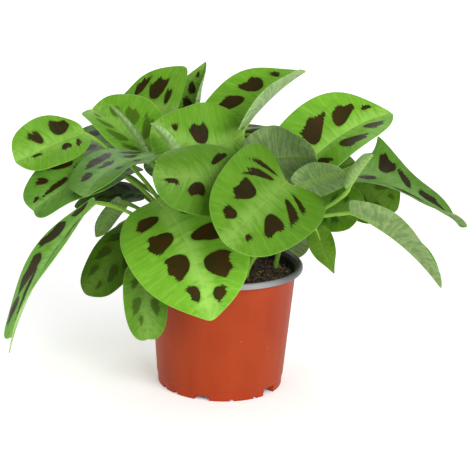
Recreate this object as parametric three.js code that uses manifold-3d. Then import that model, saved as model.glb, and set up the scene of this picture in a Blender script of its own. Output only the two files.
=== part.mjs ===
// Potted prayer plant: a thin plastic nursery pot, a plug of potting soil and one solid for each leaf.
// Units are millimetres, +Z is up, the pot's axis is the Z axis and its foot stands on z = 0.
import * as THREE from 'three';
import { mergeVertices } from 'three/addons/utils/BufferGeometryUtils.js';
import Module from 'manifold-3d';

const wasm = await Module();
wasm.setup();

// Pot: a round 12 cm nursery pot with a rolled rim and a notched foot.
const POT_HEIGHT = 95;
const RIM_RADIUS = 60;
const RIM_DROP = 4.6;
const WALL_TOP_RADIUS = 54.5;
const WALL_FOOT_RADIUS = 47;
const WALL = 1.3;
const BASE_LIFT = 7;
const FOOT_RING = 3;
const POT_SIDES = 48;
const FOOT_BAND_HEIGHT = 7.5;
const FOOT_BAND_STEP = 0.5;
// Notches in the foot ring: azimuth in degrees, width in mm, height in mm.
const FOOT_NOTCHES = [[-106, 11, 3.2], [-78, 3, 1.6], [-55, 3, 1.6], [-38, 12, 5.5], [18, 11, 3.2],
  [62, 11, 3.2], [106, 11, 3.2], [150, 11, 3.2], [-150, 4, 1.8], [-134, 4, 1.8]];

// Soil: it fills the pot, with a lumpy top, a sloped heel and one plain hole for each stalk.
const SOIL_TOP = 86;
const SOIL_HEEL = 2;
const SOIL_LUMP = 1.3;
const SOIL_RINGS = 6;
const SOIL_SIDES = 30;
const SOIL_GAP = 0.3;
const SOIL_FACET = 0.25;
const HOLE_DEPTH = 13;
const HOLE_GAP = 0.35;
const HOLE_SIDES = 6;

// Leaves: a thin waved blade on a tapering stalk.
const BLADE_THICKNESS = 0.8;
const BLADE_STEPS_LONG = 8;
const BLADE_STEPS_WIDE = 6;
const ROLLED_STEPS_LONG = 6;
const ROLLED_STEPS_WIDE = 10;
const STALK_SIDES = 5;
const STALK_STEPS = 6;
const STALK_FOOT_RADIUS = 2.2;
const STALK_TOP_RADIUS = 1.4;
// Shape of a stalk, as shares of the distance from its root to the blade: height of the first bend,
// length of the last bend, lean outwards, and how straight it aims at the blade.
const STALK_RISE = 0.4;
const STALK_LAST = 0.32;
const STALK_LEAN = 0.12;
const STALK_REACH = 1.4;
// The stalk ends under the midrib, at this place along it and this thin.
const RIB_END = 0.12;
const RIB_RADIUS = 0.6;
const RIB_DROP = 0.3;
// Outline of a blade: fullness of its sides, change of fullness and pinch at the tip,
// lean of the side veins towards the tip, and lag of the right margin's wave behind the left's.
const FULLNESS = 0.64;
const TIP_FULLNESS = 0.08;
const TIP_PINCH = 0.2;
const VEIN_LEAN = 1.45;
const WAVE_LAG = 1.9;

// One row for each leaf, lengths in millimetres and angles in degrees:
// name, root of the stalk [x, y], base of the blade [x, y, z], tip of the blade [x, y, z],
// midrib arch [out of the blade, sideways, place in percent], width, roll [base, tip],
// curl of the halves [left, right], rise of both halves, margin wave [height, count, phase],
// outline [lobe at the base, drawn-out tip and, if any, shift of the widest place to the base, in percent].
const LEAVES = [
  ["front_left",[-14,-15],[-50,-25,147],[-7,-93,79],[14,6,50],88,[32,28],[10,-10],0,[1.5,2,0],[12,10]],
  ["front_right",[-6,-11],[44,-22,163],[0,-112,141],[6,0,50],78,[-40,-40],[15,15],0,[1.5,2,0],[34,4]],
  ["front_middle",[2,-11],[13,-38,175],[-50.7,-80,178],[4,4,50],58,[-65,-60],[0,-50],0,[2,2,0],[6,4]],
  ["upper_middle",[-1,0],[11,44,181.8],[-56,14,194],[2,12,50],65,[-70,-55],[0,0],0,[1.5,2,0],[12,4]],
  ["top_left",[-12,15],[-40,68,192.8],[-103,109,180],[6,0,50],84,[-50,-50],[25,0],0,[2,1.5,0],[0,30,45]],
  ["top_folded",[-3,21],[-26,94,174.3],[-19,104,227],[2,0,50],36,[-10,-10],[60,60],20,[0,2,0],[10,20]],
  ["top_right",[4,10],[12,53,184.5],[60,97,223],[4,0,50],77,[-4,-4],[0,10],39,[1.5,2,0],[35,20,30]],
  ["right_high",[10.5,12.5],[58,36,159],[128,80,195],[10,0,50],74,[23,23],[0,0],27,[1.5,2,0],[34,18]],
  ["middle_turned",[9,3],[16,22,165.5],[66,-3,176.5],[6,0,50],50,[-75,-75],[0,0],0,[3,2,0],[10,7]],
  ["right_turned",[2,-24],[53,-4.5,154],[85.5,-33,173],[4,0,50],28,[-60,-60],[0,0],0,[1,2,0],[10,7]],
  ["right_rolled",[40,17],[87.6,-36,162],[101.2,-63,194.2],[1,0,50],21,[0,0],[165,165],0,[0,2,0],[6,7]],
  ["right_long",[11,-6],[98.5,-5,173.8],[165,-99,154.8],[0,0,60],50,[28,-50],[0,0],7,[3,2,0],[14,9,60]],
  ["right_drooping",[16,-2],[91,-20,141],[156,-59,97.5],[6,0,50],60,[-30,-30],[0,0],22,[1.5,2,0],[6,7]],
  ["right_shaded",[17,14],[87.8,49,146.3],[132,33,130.3],[4,0,50],60,[35,35],[0,0],0,[1.5,2,0],[10,7]],
  ["right_small",[18,5],[71,36,127],[104,1,138],[2,0,50],38,[62,62],[0,0],0,[1.5,2,0],[8,7]],
  ["right_hanging",[17,-14],[68,-9.5,124],[82,-22,94],[2,0,50],19,[58,58],[0,0],0,[1,2,0],[10,30]],
  ["left_far",[-30,4],[-107,25,183.5],[-154,-12,168],[2,0,50],46,[-40,-40],[0,0],20,[1.5,2,0],[0,3,-20]],
  ["left_low",[-26,-4],[-76,-5,160],[-138,-35,138],[8,0,50],62,[-15,-15],[0,0],15,[1.5,2,0],[-10,-4]],
  ["left_near",[-19,-5],[-52,-18,177],[-98,-63,157],[6,-8,50],64,[8,8],[0,0],8,[2,2,0],[8,10]],
  ["left_high",[-20,15],[-57,31,164.6],[-106,72,192],[4,0,50],60,[-22,-22],[0,0],32,[2,2,0],[8,5]],
  ["left_thin",[-24,20],[-63,58,160],[-128,108,160],[4,0,50],62,[-25,-25],[0,0],5,[2,2,0],[10,8]],
  ["left_rolled",[-13,4],[-57,6,170],[-88,15,208],[1,0,50],12,[0,0],[165,165],0,[0,2,0],[4,10]],
  ["middle_rolled",[-8,0],[-36,-13,176],[-56,-15,201],[1,0,50],18,[0,0],[120,120],0,[0,2,0],[6,8]],
  ["left_long",[-37,-4],[-98,14,133],[-160,8,25],[8,0,50],62,[-5,-7],[0,0],10,[2,2,0],[6,-12,-40]],
  ["left_curled",[-34,13],[-77,15,134],[-97,13,106],[5,0,50],16,[90,90],[60,60],0,[1,2,0],[6,10]],
  ["left_under",[-28,-16],[-61,-12,121.5],[-100,-32,75],[6,0,50],42,[-40,-40],[0,-40],0,[2,2,0],[8,5]],
  ["pot_left",[-26,-22],[-58.5,-52,106],[-52,-64,53.5],[3,0,50],31,[20,20],[0,0],0,[1,2,0],[8,-4]],
  ["left_shaded",[-32,18],[-64,60,128],[-118,60,117],[6,0,50],60,[0,0],[0,0],0,[1,2,0],[8,5]],
  ["right_behind",[17,21],[77,62,149],[102,92,153],[4,0,50],44,[40,40],[0,0],0,[1,2,0],[8,5]],
  ["back_far_left",[-24,32],[-76,66,142],[-140,98,116],[8,0,50],68,[0,0],[-10,-10],5,[1.5,2,0],[10,5]],
  ["back_left",[-12,26],[-26,74,144],[-46,106,127],[8,0,50],64,[10,10],[-10,-10],5,[1.5,2,0],[10,5]],
  ["back_left_low",[-16,34],[-46,64,116],[-70,100,70],[8,0,50],58,[0,0],[-10,-10],5,[1.5,2,0],[10,5]],
  ["back_middle",[4,18],[5,72,170],[14,109,173],[8,0,50],54,[0,0],[-10,-10],5,[1.5,2,0],[10,5]],
  ["back_middle_low",[2,31],[-5,69,128],[-12,110,96],[8,0,50],58,[0,0],[-10,-10],5,[1.5,2,0],[10,5]],
  ["back_right",[10.5,20],[34,74,146],[65,101,135],[8,0,50],64,[-10,-10],[-10,-10],5,[1.5,2,0],[10,5]],
  ["back_right_low",[10,27],[34,66,110],[46,100,64],[8,0,50],58,[0,0],[-10,-10],5,[1.5,2,0],[10,5]],
  ["back_far_right",[17,28],[78,64,132],[134,90,122],[8,0,50],56,[0,0],[-10,-10],5,[1.5,2,0],[10,5]],
];

const deg = THREE.MathUtils.degToRad;
const vec = (a) => new THREE.Vector3(a[0], a[1], a[2] ?? 0);

/** Solid of a closed geometry: corners that coincide are shared and empty triangles dropped. */
function solid(geometry) {
  geometry.deleteAttribute('normal');
  geometry.deleteAttribute('uv');
  const shared = mergeVertices(geometry, 1e-4);
  const triangles = [];
  const index = shared.index.array;
  for (let i = 0; i < index.length; i += 3) {
    const [a, b, c] = index.slice(i, i + 3);
    if (a !== b && b !== c && c !== a) triangles.push(a, b, c);
  }
  const vertProperties = new Float32Array(shared.attributes.position.array);
  const triVerts = new Uint32Array(triangles);
  return new wasm.Manifold(new wasm.Mesh({ numProp: 3, vertProperties, triVerts }));
}

/** Geometry from a list of corners and a list of triangles. */
function polygons(points, faces) {
  const geometry = new THREE.BufferGeometry().setFromPoints(points);
  geometry.setIndex(faces.flat());
  return geometry;
}

/** Flat-shaded mesh node of a solid. */
function node(name, body, color, roughness) {
  const m = body.getMesh();
  const at = new Float32Array(m.triVerts.length * 3);
  m.triVerts.forEach((v, i) => {
    at.set([0, 1, 2].map((k) => m.vertProperties[v * m.numProp + k]), i * 3);
  });
  const geometry = new THREE.BufferGeometry();
  geometry.setAttribute('position', new THREE.BufferAttribute(at, 3));
  geometry.computeVertexNormals();
  const mesh = new THREE.Mesh(geometry, new THREE.MeshStandardMaterial({ color, roughness }));
  mesh.name = name;
  return mesh;
}

/** Outer radius of the tapering wall at height z. */
function wallRadius(z) {
  return WALL_FOOT_RADIUS + ((WALL_TOP_RADIUS - WALL_FOOT_RADIUS) * z) / POT_HEIGHT;
}

function makePot() {
  const foot = WALL_FOOT_RADIUS;
  const bandTop = wallRadius(FOOT_BAND_HEIGHT);
  const lip = RIM_RADIUS;
  const profile = [
    [0, BASE_LIFT], [foot - FOOT_RING - 3, BASE_LIFT], [foot - FOOT_RING - 1, 0], [foot, 0],
    [bandTop, FOOT_BAND_HEIGHT], [bandTop + FOOT_BAND_STEP, FOOT_BAND_HEIGHT + 0.8],
    [wallRadius(POT_HEIGHT - RIM_DROP - 1) + FOOT_BAND_STEP, POT_HEIGHT - RIM_DROP - 1],
    [lip - 2.2, POT_HEIGHT - RIM_DROP + 0.2], [lip - 0.5, POT_HEIGHT - RIM_DROP], [lip, POT_HEIGHT - 3.2],
    [lip - 0.4, POT_HEIGHT - 0.9], [lip - 1.8, POT_HEIGHT], [lip - 3.6, POT_HEIGHT - 0.7],
    [wallRadius(POT_HEIGHT - 3) - WALL + FOOT_BAND_STEP, POT_HEIGHT - 3.4],
    [wallRadius(FOOT_BAND_HEIGHT) - WALL + FOOT_BAND_STEP, BASE_LIFT + 2.4],
    [foot - FOOT_RING, BASE_LIFT + WALL], [0, BASE_LIFT + WALL],
  ];
  const turned = new THREE.LatheGeometry(profile.map(([r, z]) => new THREE.Vector2(r, z)), POT_SIDES);
  let pot = solid(turned.rotateX(Math.PI / 2));
  for (const [azimuth, width, height] of FOOT_NOTCHES) {
    const cut = new THREE.BoxGeometry(14, width, height + 2);
    cut.translate(WALL_FOOT_RADIUS - 1, 0, height / 2 - 1).rotateZ(deg(azimuth));
    pot = pot.subtract(solid(cut));
  }
  return pot;
}

/** Height of the soil at x, y: two crossed swells and a finer ripple. */
function soilHeight(x, y) {
  const swell = Math.sin(x * 0.13 + 1) * Math.cos(y * 0.11);
  const ripple = Math.sin(x * 0.41 + y * 0.29) * Math.cos(x * 0.23 - y * 0.37);
  return SOIL_TOP + SOIL_LUMP * (swell + 0.7 * ripple);
}

function makeSoil(roots) {
  const inside = (z) => wallRadius(z) - WALL + FOOT_BAND_STEP - SOIL_GAP - SOIL_FACET;
  const edge = inside(SOIL_TOP);
  const floor = BASE_LIFT + WALL + SOIL_GAP;
  const walls = [[inside(floor + SOIL_HEEL), floor + SOIL_HEEL], [WALL_FOOT_RADIUS - FOOT_RING - 1, floor]];
  const points = [vec([0, 0, soilHeight(0, 0)])];
  const faces = [];
  for (let k = 1; k <= SOIL_RINGS; k++) {
    const r = (edge * k) / SOIL_RINGS;
    for (let i = 0; i < SOIL_SIDES; i++) {
      const a = (2 * Math.PI * (i + 0.5 * (k % 2))) / SOIL_SIDES;
      const p = [r * Math.cos(a), r * Math.sin(a)];
      points.push(vec([...p, k === SOIL_RINGS ? SOIL_TOP - 1 : soilHeight(...p)]));
    }
  }
  const ring = (k, i) => 1 + (k - 1) * SOIL_SIDES + ((i + SOIL_SIDES) % SOIL_SIDES);
  for (let i = 0; i < SOIL_SIDES; i++) faces.push([0, ring(1, i), ring(1, i + 1)]);
  for (let k = 1; k < SOIL_RINGS; k++) {
    for (let i = 0; i < SOIL_SIDES; i++) {
      const s = k % 2;
      faces.push([ring(k, i), ring(k + 1, i + s), ring(k, i + 1)]);
      faces.push([ring(k + 1, i + s), ring(k + 1, i + s + 1), ring(k, i + 1)]);
    }
  }
  for (const [r, z] of walls) {
    for (let i = 0; i < SOIL_SIDES; i++) {
      const a = (2 * Math.PI * (i + 0.5 * (SOIL_RINGS % 2))) / SOIL_SIDES;
      points.push(vec([r * Math.cos(a), r * Math.sin(a), z]));
    }
  }
  const middle = points.length;
  points.push(vec([0, 0, floor]));
  const last = SOIL_RINGS + walls.length;
  for (let i = 0; i < SOIL_SIDES; i++) {
    for (let k = SOIL_RINGS; k < last; k++) {
      faces.push([ring(k, i), ring(k + 1, i), ring(k, i + 1)]);
      faces.push([ring(k + 1, i), ring(k + 1, i + 1), ring(k, i + 1)]);
    }
    faces.push([ring(last, i + 1), ring(last, i), middle]);
  }
  let soil = solid(polygons(points, faces));
  const radius = (STALK_FOOT_RADIUS + HOLE_GAP) / Math.cos(Math.PI / HOLE_SIDES);
  for (const [x, y] of roots) {
    const hole = new THREE.CylinderGeometry(radius, radius, HOLE_DEPTH + 20, HOLE_SIDES);
    hole.rotateX(Math.PI / 2).translate(x, y, SOIL_TOP - HOLE_DEPTH + (HOLE_DEPTH + 20) / 2);
    soil = soil.subtract(solid(hole));
  }
  return soil;
}

/** Named measures of one row of the leaf list. */
function readLeaf(row) {
  const [name, root, base, tip, arch, width, roll, cup, rise, wave, outline] = row;
  const leaf = { name, root, width, roll, cup, rise, wave, outline };
  leaf.base = vec(base);
  leaf.tip = vec(tip);
  const chord = leaf.tip.clone().sub(leaf.base);
  const along = chord.clone().normalize();
  leaf.side = new THREE.Vector3(0, 0, 1).cross(along).normalize();
  const up = along.clone().cross(leaf.side);
  const turn = deg((roll[0] + roll[1]) / 2);
  const out = up.clone().multiplyScalar(Math.cos(turn)).addScaledVector(leaf.side, -Math.sin(turn));
  const across = leaf.side.clone().multiplyScalar(Math.cos(turn)).addScaledVector(up, Math.sin(turn));
  leaf.bend = leaf.base.clone().addScaledVector(chord, arch[2] / 100);
  leaf.bend.addScaledVector(out, 2 * arch[0]).addScaledVector(across, 2 * arch[1]);
  leaf.rolled = Math.max(...cup) > 110;
  return leaf;
}

/** Point, direction and turned side and normal of the midrib at s from 0 at the base to 1 at the tip. */
function midrib(leaf, s) {
  const { base, bend, tip, side, roll } = leaf;
  const point = base.clone().multiplyScalar((1 - s) ** 2);
  point.addScaledVector(bend, 2 * s * (1 - s)).addScaledVector(tip, s * s);
  const along = bend.clone().sub(base).multiplyScalar(1 - s);
  along.addScaledVector(tip.clone().sub(bend), s).normalize();
  const left = side.clone().addScaledVector(along, -side.dot(along)).normalize();
  const up = along.clone().cross(left);
  const turn = deg(roll[0] + (roll[1] - roll[0]) * s);
  const across = left.clone().multiplyScalar(Math.cos(turn)).addScaledVector(up, Math.sin(turn));
  const out = up.clone().multiplyScalar(Math.cos(turn)).addScaledVector(left, -Math.sin(turn));
  return { point, along, across, out };
}

/** Point and normal of the blade's middle surface; u runs from base to tip, v from right to left margin. */
function blade(leaf, u, v) {
  const a = Math.abs(v);
  const [lobe, drip, belly = 0] = leaf.outline.map((x) => x / 100);
  const sine = Math.sin(Math.PI * u);
  const swell = Math.max(Math.sin(Math.PI * u ** (1 - belly)), 0);
  const breadth = swell ** (FULLNESS + TIP_FULLNESS * u) * (1 - TIP_PINCH * u ** 8);
  const inner = u ** VEIN_LEAN;
  const even = (1 - Math.cos(Math.PI * u)) / 2;
  const outer = (1 - drip) * even + drip * u ** 10 - lobe * sine * (1 - u) ** 2 * 2;
  const s = inner + (outer - inner) * a ** 1.5;
  const rib = midrib(leaf, s);
  const reach = (breadth * leaf.width) / 2;
  const taper = leaf.rolled ? 0.25 : 1;
  let curl = deg(v > 0 ? leaf.cup[0] : leaf.cup[1]) * breadth ** taper;
  if (Math.abs(curl) < 1e-3) curl = 1e-3;
  const rise = deg(leaf.rise);
  const lateral = (reach * (Math.sin(rise + curl * a) - Math.sin(rise))) / curl;
  const lift = (reach * (Math.cos(rise) - Math.cos(rise + curl * a))) / curl;
  const [height, count, phase] = leaf.wave;
  const swing = Math.sin(2 * Math.PI * count * u + deg(phase) + (v < 0 ? WAVE_LAG : 0));
  const wave = height * a ** 3 * swing * Math.sqrt(Math.max(sine, 0));
  const sign = v < 0 ? -1 : 1;
  const point = rib.point.addScaledVector(rib.across, lateral * sign).addScaledVector(rib.out, lift + wave);
  const angle = rise + curl * a;
  const tilt = v === 0 ? 0 : -sign * Math.sin(angle);
  const normal = rib.out.clone().multiplyScalar(Math.cos(angle)).addScaledVector(rib.across, tilt);
  return { point, normal: normal.normalize() };
}

/** Closed thin solid of the blade: two alike faces and a strip along the margin. */
function makeBlade(leaf) {
  const long = leaf.rolled ? ROLLED_STEPS_LONG : BLADE_STEPS_LONG;
  const wide = leaf.rolled ? ROLLED_STEPS_WIDE : BLADE_STEPS_WIDE;
  const points = [];
  const faces = [];
  const half = BLADE_THICKNESS / 2;
  const rows = [];
  for (let i = 0; i <= long; i++) {
    const row = [];
    const pole = i === 0 || i === long;
    for (let j = 0; j <= wide; j++) {
      if (pole && j > 0) {
        row.push(row[0]);
        continue;
      }
      const { point, normal } = blade(leaf, i / long, pole ? 0 : (2 * j) / wide - 1);
      row.push(points.length);
      points.push(point.clone().addScaledVector(normal, half));
      points.push(point.clone().addScaledVector(normal, -half));
    }
    rows.push(row);
  }
  const put = (a, b, c) => {
    if (a === b || b === c || c === a) return;
    faces.push([a, b, c], [a + 1, c + 1, b + 1]);
  };
  for (let i = 0; i < long; i++) {
    for (let j = 0; j < wide; j++) {
      const [p, q, r, s] = [rows[i][j], rows[i + 1][j], rows[i + 1][j + 1], rows[i][j + 1]];
      if (j < wide / 2) {
        put(p, q, s);
        put(q, r, s);
      } else {
        put(p, q, r);
        put(p, r, s);
      }
    }
    const margin = [[rows[i][0], rows[i + 1][0]], [rows[i + 1][wide], rows[i][wide]]];
    for (const [a, b] of margin) faces.push([a, a + 1, b], [b, a + 1, b + 1]);
  }
  return solid(polygons(points, faces));
}

/** Tapering stalk: from below the soil to the base of the blade and a little way under the midrib. */
function makeStalk(leaf) {
  const foot = vec([...leaf.root, SOIL_TOP - HOLE_DEPTH + 1.5]);
  const root = vec([...leaf.root, SOIL_TOP + 3]);
  const start = midrib(leaf, 0);
  const span = leaf.base.distanceTo(root);
  const out = leaf.base.clone().sub(root).setZ(0);
  const reach = leaf.base.clone().sub(root).normalize();
  const aim = start.along.clone().addScaledVector(reach, STALK_REACH).normalize();
  const low = root.clone().add(new THREE.Vector3(0, 0, span * STALK_RISE)).addScaledVector(out, STALK_LEAN);
  const high = leaf.base.clone().addScaledVector(aim, -span * STALK_LAST);
  const end = leaf.base.clone().addScaledVector(start.out, -0.5);
  const line = new THREE.CubicBezierCurve3(root, low, high, end);
  const path = [[foot, STALK_FOOT_RADIUS]];
  for (let i = 0; i <= STALK_STEPS; i++) {
    const t = i / STALK_STEPS;
    path.push([line.getPoint(t), THREE.MathUtils.lerp(STALK_FOOT_RADIUS, STALK_TOP_RADIUS, Math.sqrt(t))]);
  }
  const rib = midrib(leaf, RIB_END);
  path.push([rib.point.addScaledVector(rib.out, -RIB_DROP), RIB_RADIUS]);
  const points = [];
  const faces = [];
  const n = STALK_SIDES;
  path.forEach(([p, r], i) => {
    const next = path[Math.min(i + 1, path.length - 1)][0];
    const last = path[Math.max(i - 1, 0)][0];
    const along = i < 2 ? new THREE.Vector3(0, 0, 1) : next.clone().sub(last).normalize();
    const left = leaf.side.clone().addScaledVector(along, -leaf.side.dot(along)).normalize();
    const up = along.clone().cross(left);
    for (let k = 0; k < n; k++) {
      const a = (2 * Math.PI * k) / n;
      points.push(p.clone().addScaledVector(left, r * Math.cos(a)).addScaledVector(up, r * Math.sin(a)));
    }
  });
  for (let i = 0; i < path.length - 1; i++) {
    for (let k = 0; k < n; k++) {
      const [a, b] = [i * n + k, i * n + ((k + 1) % n)];
      faces.push([a, b, b + n], [a, b + n, a + n]);
    }
  }
  const top = (path.length - 1) * n;
  for (let k = 1; k < n - 1; k++) faces.push([0, k + 1, k], [top, top + k, top + k + 1]);
  return solid(polygons(points, faces));
}

const part = new THREE.Group();
part.name = 'potted_prayer_plant';
part.add(node('pot', makePot(), 0xb04a28, 0.55));
part.add(node('soil', makeSoil(LEAVES.map((row) => row[1])), 0x2b211a, 0.95));
for (const row of LEAVES) {
  const leaf = readLeaf(row);
  part.add(node(`leaf_${leaf.name}`, makeBlade(leaf).add(makeStalk(leaf)), 0x5f9a3a, 0.5));
}

export default part;
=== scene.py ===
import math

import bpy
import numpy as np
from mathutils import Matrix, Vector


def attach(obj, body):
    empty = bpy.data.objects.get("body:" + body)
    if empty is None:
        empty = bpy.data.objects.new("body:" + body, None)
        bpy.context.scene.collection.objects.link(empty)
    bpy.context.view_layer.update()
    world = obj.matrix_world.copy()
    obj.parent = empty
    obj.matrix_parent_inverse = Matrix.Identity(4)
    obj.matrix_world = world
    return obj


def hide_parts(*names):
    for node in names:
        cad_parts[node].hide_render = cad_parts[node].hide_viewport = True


bl_info = {
    "name": "Potted prayer plant",
    "version": (1, 0, 0),
    "blender": (4, 5, 0),
    "location": "View3D > Sidebar > Prayer plant",
    "description": "Builds the leaves, soil and nursery pot of a potted prayer plant",
    "category": "Object",
}

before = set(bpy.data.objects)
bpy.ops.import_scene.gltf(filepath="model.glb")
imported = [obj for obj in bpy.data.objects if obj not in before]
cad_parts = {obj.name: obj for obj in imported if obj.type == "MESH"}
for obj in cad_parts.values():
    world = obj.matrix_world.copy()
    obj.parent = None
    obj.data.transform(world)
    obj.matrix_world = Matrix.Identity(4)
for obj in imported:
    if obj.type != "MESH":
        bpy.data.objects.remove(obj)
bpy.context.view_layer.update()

MM = 0.001
TURN = 2 * math.pi

# Pot, in millimetres: its outline, the band at its foot, the drop to the rim's lower edge, to the wall
# below it and to the lining inside, and the lift of the base.
POT_HEIGHT = 95
RIM_RADIUS = 60
FOOT_RADIUS = 47
WALL_TOP_RADIUS = 54.5
WALL = 1.3
FOOT_BAND_HEIGHT = 7.5
FOOT_BAND_STEP = 0.5
FOOT_BAND_RISE = 0.8
RIM_DROP = 4.6
RIM_UNDERCUT = 1
LINING_DROP = 3.4
BASE_LIFT = 7
# Foot ring: how far inside the foot's radius it joins the base, below and above, and meets the ground.
RING_JOIN = 6
RING_JOIN_TOP = 3
RING_GROUND = 4
# Notches in the foot ring: azimuth in degrees, width and height in millimetres. Their sides rise over
# twice the angle of NOTCH_SIDE, in degrees.
NOTCH_SIDE = 0.25
FOOT_NOTCHES = [(-106, 11, 3.2), (-78, 3, 1.6), (-55, 3, 1.6), (-38, 12, 5.5), (18, 11, 3.2),
                (62, 11, 3.2), (106, 11, 3.2), (150, 11, 3.2), (-150, 4, 1.8), (-134, 4, 1.8)]
# Steps of the turned wall: degrees round the pot, then radius and points of each rounded corner and
# the largest share that it takes of a side.
POT_STEP = 1.875
CORNER_RADIUS = 0.7
CORNER_STEPS = 6
CORNER_SHARE = 0.45
# Curl of the rim from its lower edge up and inwards: how far each point lies inside the rim's radius
# and below the pot's height.
RIM_CURL = [(2.2, 4.4), (0.5, 4.6), (0, 3.2), (0.4, 0.9), (1.8, 0), (3.6, 0.7)]
# Painted highlight on the rolled lip: how far inside the rim it fades in, and between which X it fades out.
LIP_HIGHLIGHT_EDGE = (2.6, 1.4)
LIP_HIGHLIGHT_FADE = (25, 52)

# Soil, in millimetres: its level, the gaps to the wall and the base, width and slope of its edge, drop
# to the first ring of its side, height of the middle one, height of the lowest over its base, and
# radii of the rings that close it below.
SOIL_TOP = 86
SOIL_WALL_GAP = 0.4
SOIL_BASE_GAP = 0.3
SOIL_EDGE = 1.5
SOIL_EDGE_SLOPE = 0.9
SOIL_SHOULDER = 3
SOIL_WAIST = 50
SOIL_FOOT = 2
SOIL_BASE_RINGS = [42, 20]
# Spokes and rings of the soil's top.
SOIL_SPOKES = 180
SOIL_RINGS = 70
# Loose bits, in millimetres: how far they stay from the wall, size of a crumb, and half length
# and radius of a fibre, from least to most.
BITS_MARGIN = 2.2
CRUMB_SIZE = (0.4, 1.5)
FIBRE_REACH = (0.8, 3.2)
FIBRE_RADIUS = (0.12, 0.3)
# Shares: how a crumb's points move in or out and how it is stretched, from least to most, spread of
# a fibre's bow and lean, and how much thinner its ends are.
CRUMB_BUMPS = (0.75, 1.25)
CRUMB_STRETCH = (0.7, 1.2)
FIBRE_BOW = 0.4
FIBRE_LEAN = 0.25
FIBRE_TAPER = 0.6
# Latitudes of a crumb's rings in degrees, and points round a crumb or fibre and along a fibre.
CRUMB_RINGS = [-50, 0, 50]
BITS_SIDES = 6
FIBRE_STEPS = 6

# Outline of a blade: fullness of its sides, change of fullness and pinch at the tip, lean of the
# side veins towards the tip and power of their bend, and lag of the right margin's wave in radians.
FULLNESS = 0.64
TIP_FULLNESS = 0.08
TIP_PINCH = 0.2
VEIN_LEAN = 1.45
VEIN_BEND = 1.5
WAVE_LAG = 1.9
# Curl in degrees from which a blade counts as rolled, how fast its curl then opens with the
# breadth, and the least curl in radians.
ROLLED_CURL = 110
ROLLED_OPENING = 0.25
LEAST_CURL = 1e-3
# Shell of a blade, in millimetres: half widths of the midrib's groove and ridge, how far the margin
# is rounded out, and height of the slow swells. Each swell has its waves along the blade, its turn
# across in radians and its share.
GROOVE_WIDTH = 0.9
RIDGE_WIDTH = 1.1
MARGIN_ROUND = 0.25
SWELL_HEIGHT = 0.45
SWELLS = [(1.7, 2.6, 1.0), (2.9, 4.3, 0.6)]
# Rows and columns of a blade at the front and at the back, how much closer rows lie at its ends
# and power by which columns lie closer at the midrib.
FRONT_STEPS = (104, 56)
BACK_STEPS = (72, 40)
ROWS_CLOSER = 0.35
COLUMNS_CLOSER = 1.2

# Stalk, as shares of the distance from its root to the blade.
STALK_RISE = 0.4
STALK_LAST = 0.32
STALK_LEAN = 0.12
STALK_REACH = 1.4
# Stalk, in millimetres: start of its curve above the soil, its foot below the soil, place and width
# of the swollen joint, and depth of its end under the midrib and what it gains on the way.
CURVE_START = 3.0
FOOT_DEPTH = 10.0
JOINT_PLACE = 6
JOINT_WIDTH = 4.5
TAIL_DEPTH = 0.5
TAIL_GAIN = 0.3
# Places along the midrib where the stalk's end begins and runs out, its first radius as a share of
# the stalk's, and its last radius.
RIB_START = 0.02
RIB_END = 0.24
TAIL_SHARE = 0.85
TAIL_RADIUS = 0.35
# Groove along the top of a stalk: share of the radius and half angle in radians.
FLUTE_DEPTH = 0.1
FLUTE_WIDTH = 0.5
# Points along a stalk, round it and along its end under the blade.
STALK_STEPS = 40
STALK_SIDES = 12
TAIL_STEPS = 8

# Value of the faces: 0 on the upper face, 0.5 on the margin, 1 on the lower face, 2 on a stalk.
ON_MARGIN = 0.5
ON_STALK = 2.0
# Distance in millimetres that counts as far from any blotch, midrib or margin.
FAR = 8.0
# Blotch: how much it widens outwards, depth and turn of the wave that cuts its outer end into
# lobes, and power of its rounded outline.
BLOTCH_FLARE = 0.3
LOBE_DEPTH = 0.16
LOBES = 6.5
BLOTCH_POWER = 2.8
# Leaves whose blotches show faintly, leaves without any, and how the names at the back begin.
FAINT_LEAVES = {"left_high", "right_shaded", "right_small", "left_under", "pot_left"}
PLAIN_LEAVES = {"right_rolled", "left_rolled", "middle_rolled", "right_hanging", "left_curled"}
BACK_LEAVES = "back_"

# Look of a blade: how far the pale band frays and a blotch's outer end is jagged, in millimetres,
# fine ribs between two side veins, share of a faint blotch, and gain of the tone, which is partly
# the leaf's own colour and partly painted light and shade.
BAND_FRAY = 9.0
BLOTCH_JAG = 4.4
FINE_RIBS = 5.0
FAINT_SHARE = 0.55
TONE_AND_SHADE_GAIN = 0.6
# Specular level of each kind of blade and of the pot.
GREEN_GLOSS = 0.07
GREY_GLOSS = 0.08
PAINTED_SHADE_GLOSS = 0.05
POT_GLOSS = 0.14

# Stage: half side of the floor, distances between which its glow doubles, and the lights, each
# with its place, size and share of the key light's power, in metres.
FLOOR_REACH = 6.0
GLOW_RISE = (0.4, 2.0)
SHADE_SPREAD = 1.25
LIGHTS_AIM = (0, 0, 0.1)
LIGHTS = [
    ("key", (0.85, -1.3, 0.85), 1.2, 1.0),
    ("fill", (-1.1, -1.2, 0.5), 1.0, 0.15),
    ("rim", (-0.3, 1.2, 1.1), 0.8, 0.3),
]
# Camera: width of the film in millimetres, and nearest distance that it sees in metres.
SENSOR_WIDTH = 36
NEAREST = 0.01
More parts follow.
